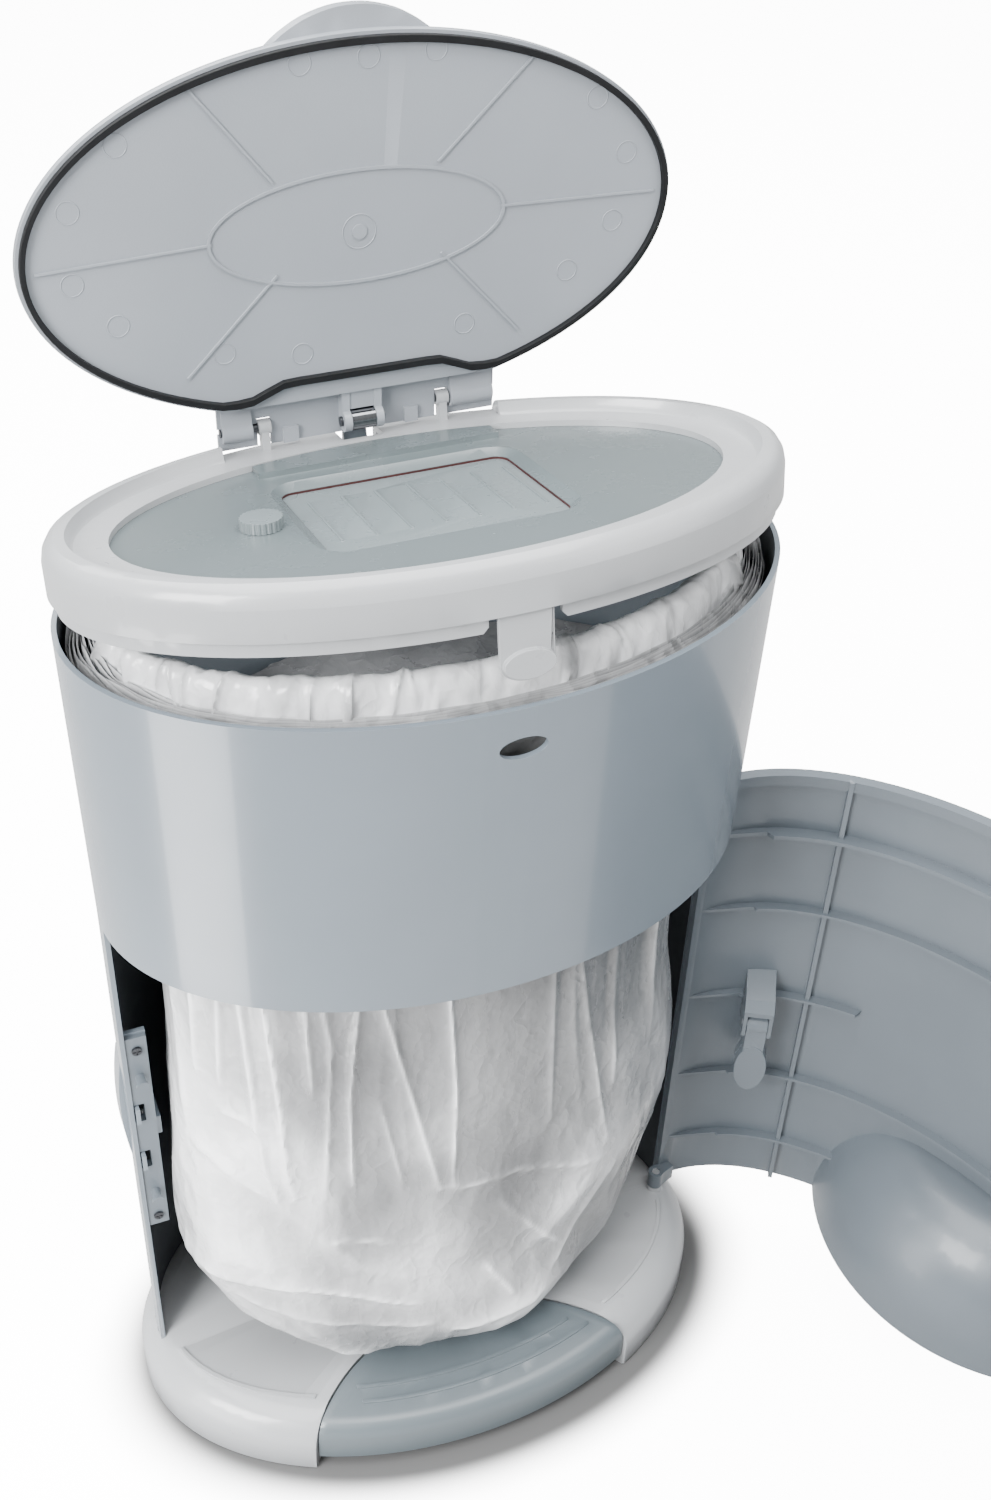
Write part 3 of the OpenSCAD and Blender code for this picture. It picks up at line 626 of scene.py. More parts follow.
class Finish(Enum):
    """The finishes of the bin."""

    PEARL_WHITE = MouldedPlastic("pearl_white", Slot.WHITE, (0.335, 0.345, 0.356), rough=0.30, coat=0.35,
                                 grain=0.00006, mottle=0.02, ripple=0.00012)
    GLOSS_BLUE = MouldedPlastic("gloss_blue_grey", Slot.BLUE, (0.142, 0.170, 0.197), rough=0.24, coat=0.5)
    # painted shade: a much darker, duller copy of the gloss blue for the shell's inner faces
    INSIDE = MouldedPlastic("blue_grey_painted_shade", Slot.BLUE, (0.046, 0.052, 0.058), rough=0.55, mottle=0.1)
    SATIN_GREY = MouldedPlastic("satin_grey", Slot.GREY, (0.098, 0.116, 0.133), rough=0.36, coat=0.12,
                                grain=0.00008, mottle=0.06)
    PEDAL_GREY = MouldedPlastic("pedal_grey", Slot.GREY, (0.095, 0.116, 0.128), rough=0.36, coat=0.35,
                                mottle=0.02, coat_rough=0.3)
    PANEL_GREY = MouldedPlastic("panel_grey", Slot.GREY, (0.094, 0.116, 0.121), rough=0.26, coat=0.5,
                                grain=0.00001, mottle=0.02, coat_rough=0.22)
    LID_GREY = MouldedPlastic("lid_grey", Slot.GREY, (0.255, 0.274, 0.300), rough=0.34, coat=0.12,
                              grain=0.00012, mottle=0.04)
    PALE_GREY = MouldedPlastic("satin_pale_grey", Slot.PALE, (0.140, 0.167, 0.174), rough=0.28, coat=0.3,
                               grain=0.00001)
    SEAL = SealRubber("seal_rubber", Slot.BLACK_RUBBER, (0.0035, 0.0038, 0.0045))
    GASKET = SealRubber("gasket_rubber", Slot.DARK_RUBBER, (0.036, 0.010, 0.010))
    STEEL = TurnedSteel("bright_steel")
    CHROME = TurnedSteel("roller_chrome", tint=(0.20, 0.205, 0.215), rough=0.10)
    DARK_STEEL = TurnedSteel("dark_steel", tint=(0.085, 0.088, 0.095), rough=0.3)
    FILM = ThinFilm("milky_film", Slot.FILM)

    def material(self) -> bpy.types.Material:
        """The material of this finish, made once."""
        found = bpy.data.materials.get(self.value.name)
        return found or self.value.make()

    def dress(self, obj: bpy.types.Object) -> None:
        """Gives an object this finish as its only material."""
        obj.data.materials.clear()
        obj.data.materials.append(self.material())


# --------------------------------------------------------------------------- meshes


class Mesher:
    """Makes mesh objects at the origin from arrays of points and faces."""

    @staticmethod
    def add(name: str, mesh: bpy.types.Mesh, smooth: float) -> bpy.types.Object:
        """Puts a mesh into the scene.

        Args:
            name: name of the object.
            mesh: its mesh.
            smooth: edges sharper than this many degrees stay sharp.

        Returns:
            The new object.
        """
        obj = bpy.data.objects.new(name, mesh)
        bpy.context.scene.collection.objects.link(obj)
        Mesher.shade(mesh, smooth)
        return obj

    @staticmethod
    def shade(mesh: bpy.types.Mesh, degrees: float) -> None:
        """Smooth shading with sharp edges above an angle."""
        mesh.polygons.foreach_set("use_smooth", np.ones(len(mesh.polygons), bool))
        mesh.set_sharp_from_angle(angle=math.radians(degrees))

    @staticmethod
    def from_arrays(name: str, points: np.ndarray, faces: np.ndarray,
                    smooth: float = 40.0) -> bpy.types.Object:
        """A mesh object from points and faces.

        Args:
            name: name of the object and its mesh.
            points: array (n, 3) in metres.
            faces: array (m, 3 or 4) of indices.
            smooth: edges sharper than this many degrees stay sharp.

        Returns:
            The new object.
        """
        mesh = bpy.data.meshes.new(name)
        mesh.from_pydata(points.tolist(), [], faces.tolist())
        mesh.update()
        return Mesher.add(name, mesh, smooth)

    @staticmethod
    def grid_faces(nu: int, nv: int, wrap_u: bool, wrap_v: bool) -> np.ndarray:
        """The faces of a grid, joined up where it wraps.

        Face (i, j) joins points (i, j), (i+1, j), (i+1, j+1) and (i, j+1).

        Args:
            nu: points along u.
            nv: points along v.
            wrap_u: whether the last row joins the first.
            wrap_v: whether the last column joins the first.

        Returns:
            Array (m, 4) of indices.
        """
        i = np.arange(nu if wrap_u else nu - 1)
        j = np.arange(nv if wrap_v else nv - 1)
        ii, jj = np.meshgrid(i, j, indexing="ij")
        i1, j1 = (ii + 1) % nu, (jj + 1) % nv
        return np.stack([ii * nv + jj, i1 * nv + jj, i1 * nv + j1, ii * nv + j1], -1).reshape(-1, 4)

    @staticmethod
    def read(things: bpy.types.bpy_prop_collection, what: str) -> np.ndarray:
        """Reads a vector of every vertex or face.

        Args:
            things: a mesh's vertices or polygons.
            what: name of the vector.

        Returns:
            Array (n, 3).
        """
        values = np.empty(len(things) * 3)
        things.foreach_get(what, values)
        return values.reshape(-1, 3)


@dataclass
class Moulding:
    """A CAD node redrawn with true curves and softened edges.

    The node's flat facets along its ovals are cut at their middles, and each point is moved
    out along its ray by cos(u) / cos(h), where u is its angle from the facet's middle and h
    half a facet, which turns the many-sided oval into the true one.

    Attributes:
        node: name of the CAD node.
        body: body that it rides on.
        finish: its finish.
        place: where its closed position stands at rest.
        oval: oval that its facets follow, if it has one.
        edge: width of the softened edges.
        sides: facets round the oval.
        smooth: edges sharper than this many degrees are softened.
        inner_shade: darker finish for the faces that look towards the oval's middle, which paints shade on
            them, if there is one.
        swell: how far it is swollen in the oval's plane.
        weld: points nearer than this are one.
        level: faces within this many degrees become one.
        inwards: a face looks inwards where its normal's share along the oval's ray is below this.
    """

    node: str
    body: Body
    finish: Finish
    place: Place = FIXED
    oval: Oval | None = None
    edge: float = 0.0006
    sides: int = 72
    smooth: float = 32.0
    inner_shade: Finish | None = None
    swell: float = 0.0
    weld: float = 2e-6
    level: float = 0.25
    inwards: float = -1.0

    def build(self, frame: dict) -> None:
        """Builds the piece, lets it ride on its body and hides its node.
        """
        mesh = self._copy(frame["nodes"][self.node].data)
        if self.oval is not None:
            mesh.vertices.foreach_set("co", self._rounded(Mesher.read(mesh.vertices, "co")).ravel())
        if self.swell:
            self._swell(mesh)
        obj = Mesher.add(mesh.name, mesh, self.smooth)
        bevel = obj.modifiers.new("soft_edges", "BEVEL")
        bevel.width = self.edge
        bevel.segments = 2
        bevel.limit_method = "ANGLE"
        bevel.angle_limit = math.radians(self.smooth)
        bevel.harden_normals = True
        bevel.use_clamp_overlap = True
        self.finish.dress(obj)
        # painted shade on the faces that look inwards
        if self.inner_shade is not None:
            self._shade_inner_faces(mesh)
        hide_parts(self.node)
        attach(obj, self.body.value)
        log.info("moulding %s: %d faces", self.node, len(mesh.polygons))

    def _copy(self, source: bpy.types.Mesh) -> bpy.types.Mesh:
        """Copies a CAD mesh with its points merged and its flat faces joined, cut along the oval.

        Args:
            source: the CAD node's mesh.

        Returns:
            The new mesh.
        """
        work = bmesh.new()
        work.from_mesh(source)
        bmesh.ops.remove_doubles(work, verts=work.verts, dist=self.weld)
        bmesh.ops.dissolve_limit(work, angle_limit=math.radians(self.level), verts=work.verts,
                                 edges=work.edges, use_dissolve_boundaries=False)
        if self.oval is not None:
            self._cut(work)
        mesh = bpy.data.meshes.new(self.node + "_moulding")
        work.to_mesh(mesh)
        work.free()
        return mesh

    def _cut(self, work: bmesh.types.BMesh) -> None:
        """Cuts a mesh by upright planes through the middle of each facet.

        Args:
            work: the mesh, at rest.
        """
        t = (np.arange(self.sides // 2) + 0.5) * TURN / self.sides
        normals = self.place.turn(np.stack([-self.oval.b * np.sin(t), self.oval.a * np.cos(t), 0 * t], -1))
        centre = self.place.put(np.array([[0, self.oval.cy, 0.0]]))[0]
        for normal in normals:
            everything = work.verts[:] + work.edges[:] + work.faces[:]
            bmesh.ops.bisect_plane(work, geom=everything, dist=self.weld / 2, plane_co=centre,
                                   plane_no=normal)

    def _rounded(self, points: np.ndarray) -> np.ndarray:
        """Moves points out to the true ovals.

        Args:
            points: array (n, 3), at rest.

        Returns:
            The moved points.
        """
        p = self.place.back(points)
        x, y = p[:, 0], p[:, 1] - self.oval.cy
        step = TURN / self.sides
        t = np.arctan2(y / self.oval.b, x / self.oval.a)
        u = np.mod(t, step) - step / 2
        k = np.cos(u) / math.cos(step / 2)
        p[:, 0] = x * k
        p[:, 1] = y * k + self.oval.cy
        return self.place.put(p)

    def _swell(self, mesh: bpy.types.Mesh) -> None:
        """Moves each point out along the part of its normal that lies in the oval's plane.

        Args:
            mesh: the mesh to swell, at rest.
        """
        normal = Mesher.read(mesh.vertices, "normal")
        up = self.place.turn(np.array([[0.0, 0.0, 1.0]]))[0]
        flat = normal - (normal @ up)[:, None] * up
        mesh.vertices.foreach_set("co", (Mesher.read(mesh.vertices, "co") + self.swell * flat).ravel())

    def _shade_inner_faces(self, mesh: bpy.types.Mesh) -> None:
        """Paints shade on the faces that look inwards, towards the oval's middle, by giving them the darker
        inner finish.

        Args:
            mesh: the mesh to line, at rest.
        """
        mesh.materials.append(self.inner_shade.material())
        p = self.place.back(Mesher.read(mesh.polygons, "center"))
        normal = self.place.turn_back(Mesher.read(mesh.polygons, "normal"))
        along = normal[:, 0] * p[:, 0] / self.oval.a ** 2
        along += normal[:, 1] * (p[:, 1] - self.oval.cy) / self.oval.b ** 2
        mesh.polygons.foreach_set("material_index", (along < self.inwards).astype(np.int32))


@dataclass(frozen=True)
class Waves:
    """A repeatable sum of sine waves, periodic in u over a full turn, of about unit spread.

    Attributes:
        seed: which sum.
        low: fewest waves round.
        high: most waves round.
        tall: largest waves per unit along the piece, in radians.
        count: number of sines.
        unit: that unit.
        height: factor for the whole sum.
        phase: largest phase, about a full turn.
    """

    seed: int
    low: int
    high: int
    tall: float
    count: int = 22
    unit: float = 1.0
    height: float = 1.0
    phase: float = 6.283

    def at(self, u: np.ndarray, v: np.ndarray) -> np.ndarray:
        """The sum at points of a piece.

        Args:
            u: angle round the piece.
            v: position along it.

        Returns:
            Array of the broadcast shape of u and v.
        """
        v = v / self.unit
        rng = np.random.default_rng(self.seed)
        total = np.zeros(np.broadcast(u, v).shape)
        for _ in range(self.count):
            total += np.sin(rng.integers(self.low, self.high + 1) * u + rng.uniform(-self.tall, self.tall) * v
                            + rng.uniform(0, self.phase))
        return self.height * (total / math.sqrt(self.count / 2))

    def creases(self, u: np.ndarray, v: np.ndarray) -> np.ndarray:
        """Sharp crests where the sum passes zero: height (1 - |sum|)."""
        return self.height * (1 - np.abs(replace(self, height=1.0).at(u, v)))


class Surface:
    """Array sums behind the film surfaces. A grid has shape (u, v, 3), is in mm and wraps in u."""

    @staticmethod
    def rings(u: np.ndarray, a: np.ndarray, b: np.ndarray, z: np.ndarray, cx: np.ndarray | float = 0.0,
              cy: np.ndarray | float = MIDDLE / MM) -> np.ndarray:
        """Points (cx + a cos u, cy + b sin u, z) on a stack of oval rings.

        Args:
            u: angles, as a column.
            a: half lengths of the rings.
            b: half widths of the rings.
            z: heights of the rings.
            cx: their middles along x.
            cy: their middles along y.

        Returns:
            A grid of points.
        """
        return np.stack(np.broadcast_arrays(cx + a * np.cos(u), cy + b * np.sin(u), z), -1)

    @staticmethod
    def rise(values: np.ndarray, start: float, length: float) -> np.ndarray:
        """A straight rise from 0 at start to 1 a length further on."""
        return np.clip((values - start) / length, 0, 1)

    @staticmethod
    def apart(angle: np.ndarray) -> np.ndarray:
        """The size of an angle, counted the shorter way round."""
        return np.abs(np.mod(angle + math.pi, TURN) - math.pi)

    @staticmethod
    def through(knots: Sequence[Sequence[float]], count: int) -> np.ndarray:
        """Samples of a smooth curve through knots.

        The curve is a Catmull-Rom spline; the samples are evenly spaced along the chords.

        Args:
            knots: k points or ring sizes of m numbers each.
            count: number of samples.

        Returns:
            Array (count, m).
        """
        k = np.asarray(knots, float)
        chord = np.concatenate([[0], np.cumsum(np.linalg.norm(np.diff(k, axis=0), axis=1))])
        at = np.interp(np.linspace(0, chord[-1], count), chord, np.arange(len(k)))
        i = np.minimum(at.astype(int), len(k) - 2)
        t = (at - i)[:, None]
        pad = np.vstack([2 * k[0] - k[1], k, 2 * k[-1] - k[-2]])
        a, b, c, d = pad[i], pad[i + 1], pad[i + 2], pad[i + 3]
        curved = (2 * a - 5 * b + 4 * c - d) * t ** 2 + (3 * b - a - 3 * c + d) * t ** 3
        return 0.5 * (2 * b + (c - a) * t + curved)

    @staticmethod
    def normals(points: np.ndarray) -> np.ndarray:
        """Unit normals of a grid, by crossed differences.

        Args:
            points: the grid.

        Returns:
            A grid of normals.
        """
        du = np.roll(points, -1, 0) - np.roll(points, 1, 0)
        dv = np.gradient(points, axis=1)
        n = np.cross(du, dv)
        return n / np.maximum(np.linalg.norm(n, axis=-1, keepdims=True), 1e-12)

    @staticmethod
    def distance(points: np.ndarray, path: Sequence[np.ndarray]) -> tuple[np.ndarray, np.ndarray]:
        """How far points lie from a path of straight runs.

        Args:
            points: array (..., 3).
            path: the path's corners.

        Returns:
            The distance, and how far along the path its nearest point lies, from 0 to 1.
        """
        best = np.full(points.shape[:-1], np.inf)
        along = np.zeros(points.shape[:-1])
        runs = len(path) - 1
        for i in range(runs):
            a, b = np.asarray(path[i], float), np.asarray(path[i + 1], float)
            t = np.clip(((points - a) @ (b - a)) / ((b - a) @ (b - a)), 0, 1)
            d = np.linalg.norm(points - a - t[..., None] * (b - a), axis=-1)
            nearer = d < best
            best = np.where(nearer, d, best)
            along = np.where(nearer, (i + t) / runs, along)
        return best, along

    @staticmethod
    def film(name: str, points: np.ndarray, tone: np.ndarray, tube: bool, smooth: float) -> bpy.types.Object:
        """Makes a film piece with its own tone.

        Args:
            name: name of the piece.
            points: the grid.
            tone: the painted light and shade of each of its points, from 0 to 1.
            tube: whether it also wraps in v; if not, its two ends are closed.
            smooth: edges sharper than this many degrees stay sharp.

        Returns:
            The piece, dressed as film.
        """
        faces = Mesher.grid_faces(*points.shape[:2], wrap_u=True, wrap_v=tube)
        obj = Mesher.from_arrays(name, (points * MM).reshape(-1, 3), faces, smooth)
        if not tube:
            mesh = bmesh.new()
            mesh.from_mesh(obj.data)
            bmesh.ops.holes_fill(mesh, edges=[e for e in mesh.edges if e.is_boundary], sides=0)
            bmesh.ops.recalc_face_normals(mesh, faces=mesh.faces[:])
            mesh.to_mesh(obj.data)
            mesh.free()
            Mesher.shade(obj.data, smooth)
        obj.data.attributes.new(PAINTED_LIGHT_TONE, "FLOAT", "POINT").data.foreach_set("value", tone.ravel())
        Finish.FILM.dress(obj)
        return obj


# --------------------------------------------------------------------------- film


@dataclass(frozen=True)
class FilmRing:
    """The film drawn over the tray's rim: a puffed ring pinched by gathers.

    Attributes:
        section: half length, half width and height of the ring at points round its section.
        grid: points round the ring and round its section.
        gathers: number of gathers.
        seed: which gathers.
        slant: how much the gathers slant, in radians over the section.
        widths: narrowest and widest gather, in radians.
        depths: shallowest and deepest gather.
        middles: where along the section they are deepest, from 0 to 1.
        reaches: how far along the section they reach.
        puffed: where along the section the film starts to puff out, and over how much of it.
        puff: how far it puffs out, how much the soft folds change that, and how much gathers take.
        limits: lowest and highest that a point may move.
        tones: tone of the puffs, the painted shade that a millimetre of gather takes, and the painted light
            and shade that the soft folds add.
        soft: soft folds.
        small: small folds laid over them.
    """

    section: tuple[tuple[float, float, float], ...] = (
        (166.3, 90.3, 613), (166.2, 90.2, 630), (165.9, 90.0, 638.4), (163.6, 87.7, 639.2),
        (163.2, 87.3, 641.5), (165, 89.5, 645), (169, 93, 648), (173.5, 97.5, 648.6), (177.6, 101.6, 646),
        (180.4, 104.6, 640), (181.6, 105.9, 632), (181.4, 105.8, 622), (179.5, 104, 613.5),
        (173, 97.5, 611.6), (166.3, 90.3, 613))
    grid: tuple[int, int] = (1000, 60)
    gathers: int = 84
    seed: int = 11
    slant: float = 0.16
    widths: tuple[float, float] = (0.006, 0.020)
    depths: tuple[float, float] = (0.8, 4.0)
    middles: tuple[float, float] = (0.35, 0.85)
    reaches: tuple[float, float] = (0.12, 0.35)
    puffed: tuple[float, float] = (0.28, 0.58)
    puff: tuple[float, float, float] = (1.2, 0.8, 5.0)
    limits: tuple[float, float] = (-4.4, 2.6)
    tones: tuple[float, float, float] = (0.98, 0.10, 0.08)
    soft: Waves = Waves(5, 8, 34, 9.0, height=0.9)
    small: Waves = Waves(6, 40, 110, 26.0, height=0.35)

    def build(self) -> bpy.types.Object:
        """Builds the ring.

        Oval rings are taken along the section, and a point moves along its normal by the puff less
        the depth of the gathers.

        Returns:
            The piece.
        """
        around, along = self.grid
        u = np.linspace(0, TURN, around, endpoint=False)[:, None]
        v = np.linspace(0, 1, along)[None, :]
        pts = Surface.rings(u, *Surface.through(self.section, along + 1)[:-1].T)
        puff = np.clip(np.sin(np.pi * Surface.rise(v, *self.puffed)), 0, 1) ** 0.8
        depth = self._depth(u, v)
        soft = self.soft.at(u, v) + self.small.at(u, v)
        out, change, deepest = self.puff
        move = puff * (out + change * soft - np.minimum(depth, deepest))
        pts = pts + Surface.normals(pts) * np.clip(move, *self.limits)[..., None]
        # painted shade in the gathers, painted light and shade along the soft folds
        light, taken, added = self.tones
        tone = np.clip(light - taken * depth * puff + added * soft, 0.2, 1.0)
        return Surface.film("film_ring_gathered", pts, tone, tube=True, smooth=60)

    def _depth(self, u: np.ndarray, v: np.ndarray) -> np.ndarray:
        """Depth of the gathers: each a cusp exp(-distance / width) whose line slants down the ring.

        Args:
            u: angles, as a column.
            v: places along the section, as a row.

        Returns:
            Array of the depths.
        """
        rng = np.random.default_rng(self.seed)
        depth = np.zeros(self.grid)
        for _ in range(self.gathers):
            at, slant = rng.uniform(0, TURN), rng.normal(0, self.slant)
            wide, deep = rng.uniform(*self.widths), rng.uniform(*self.depths)
            mid, reach = rng.uniform(*self.middles), rng.uniform(*self.reaches)
            off = Surface.apart(u - at - slant * (v - mid))
            depth += deep * np.exp(-off / wide) * np.exp(-(((v - mid) / reach) ** 2))
        return depth


@dataclass(frozen=True)
class FilmPack:
    """The refill: tubular film folded like a bellows round the tray.

    Attributes:
        leaves: number of leaves.
        around: points round the pack.
        inner: half length and half width of the innermost leaf.
        spread: how much longer and wider the outermost leaf is.
        tuck: how far the leaves are tucked in at the two ends.
        tongue: middle and half width of the collar's tongue along x.
        pinch: share of the spread that is pressed in behind the tongue.
        top: height of the innermost leaf.
        fall: how much lower the outermost leaf is.
        splay: how much higher the leaves stand at the two ends.
        ceiling: highest that a leaf may stand.
        fold: depth of the valleys, and how much deeper they are at the ends.
        wall: half length, half width and height of the rings below; the first is also pressed in.
        wobble: how uneven the leaves' distances are, and how much more so at the ends.
        jitter: how uneven their tops are, and how much more so at the ends.
        tones: tone of the leaves, the painted shade of the valleys, the tone of the wall, and the painted
            light added at the ends.
    """

    leaves: int = 8
    around: int = 720
    inner: tuple[float, float] = (182.6, 107.0)
    spread: tuple[float, float] = (10.6, 12.6)
    tuck: float = 2.2
    tongue: tuple[float, float] = (5, 27)
    pinch: float = 0.46
    top: float = 631.8
    fall: float = 2.2
    splay: float = 7.0
    ceiling: float = 639.0
    fold: tuple[float, float] = (6.0, 2.0)
    wall: tuple[tuple[float, float, float], ...] = (
        (192.6, 118.6, 600), (190, 113.5, 575), (188, 111.5, 541.4), (168, 92, 541.4), (168, 92, 600),
        (176, 100, 609.6), (181.6, 105.4, 609.6))
    wobble: tuple[float, float] = (0.018, 0.03)
    jitter: tuple[float, float] = (0.25, 1.2)
    tones: tuple[float, float, float, float] = (0.66, 0.06, 0.30, 0.2)

    def build(self) -> bpy.types.Object:
        """Builds the bellows as one closed surface.

        Round the pack the section zigzags between the tops of the leaves and the valleys between
        them; the tops rise and splay towards the two ends of the oval.

        Returns:
            The piece.
        """
        u = np.linspace(0, TURN, self.around, endpoint=False)[:, None]
        k = np.arange(2 * self.leaves - 1)[None, :]
        f = np.linspace(0, 1, k.size)[None, :]
        end = np.abs(np.cos(u)) ** 8
        middle, half = self.tongue
        pressed = np.exp(-(((self.inner[0] * np.cos(u) - middle) / half) ** 4)) * (np.sin(u) < 0)
        jitter = self._own_waves(u, Waves(80, 5, 30, 1.0, 8))
        wobble = self._own_waves(u, Waves(40, 2, 13, 1.0, 8))
        out = f + (self.wobble[0] + self.wobble[1] * end) * wobble
        a = self.inner[0] + self.spread[0] * out - self.tuck * end * (1 - f)
        b = self.inner[1] + self.spread[1] * out * (1 - self.pinch * pressed)
        splayed = end * (self.splay * (1 - f) ** 0.7 + self.jitter[1] * jitter)
        peak = self.top - self.fall * f + splayed + self.jitter[0] * jitter
        valley = peak - self.fold[0] - self.fold[1] * end
        folds = Surface.rings(u, a, b, np.where(k % 2 == 0, np.minimum(peak, self.ceiling), valley))
        a, b, z = np.array(self.wall).T
        b = b - self.pinch * self.spread[1] * pressed * (np.arange(b.size) == 0)
        pts = np.concatenate([folds, Surface.rings(u, a, b, z)], 1)
        # painted light on the leaves' tops and at the two ends, painted shade in the valleys between the
        # leaves
        light, dark, plain, more = self.tones
        tone = np.full(pts.shape[:2], plain)
        tone[:, : k.size] = np.where(k % 2 == 0, light + more * end, dark + more * end)
        return Surface.film("film_pack_bellows", pts, tone, tube=True, smooth=28)

    def _own_waves(self, u: np.ndarray, first: Waves) -> np.ndarray:
        """Waves round the pack, of its own for each fold.

        Args:
            u: angles, as a column.
            first: waves of the first fold; each next fold has the next seed.

        Returns:
            Array (u, folds).
        """
        each = (replace(first, seed=first.seed + i) for i in range(2 * self.leaves - 1))
        return np.concatenate([waves.at(u, 0 * u) for waves in each], 1)


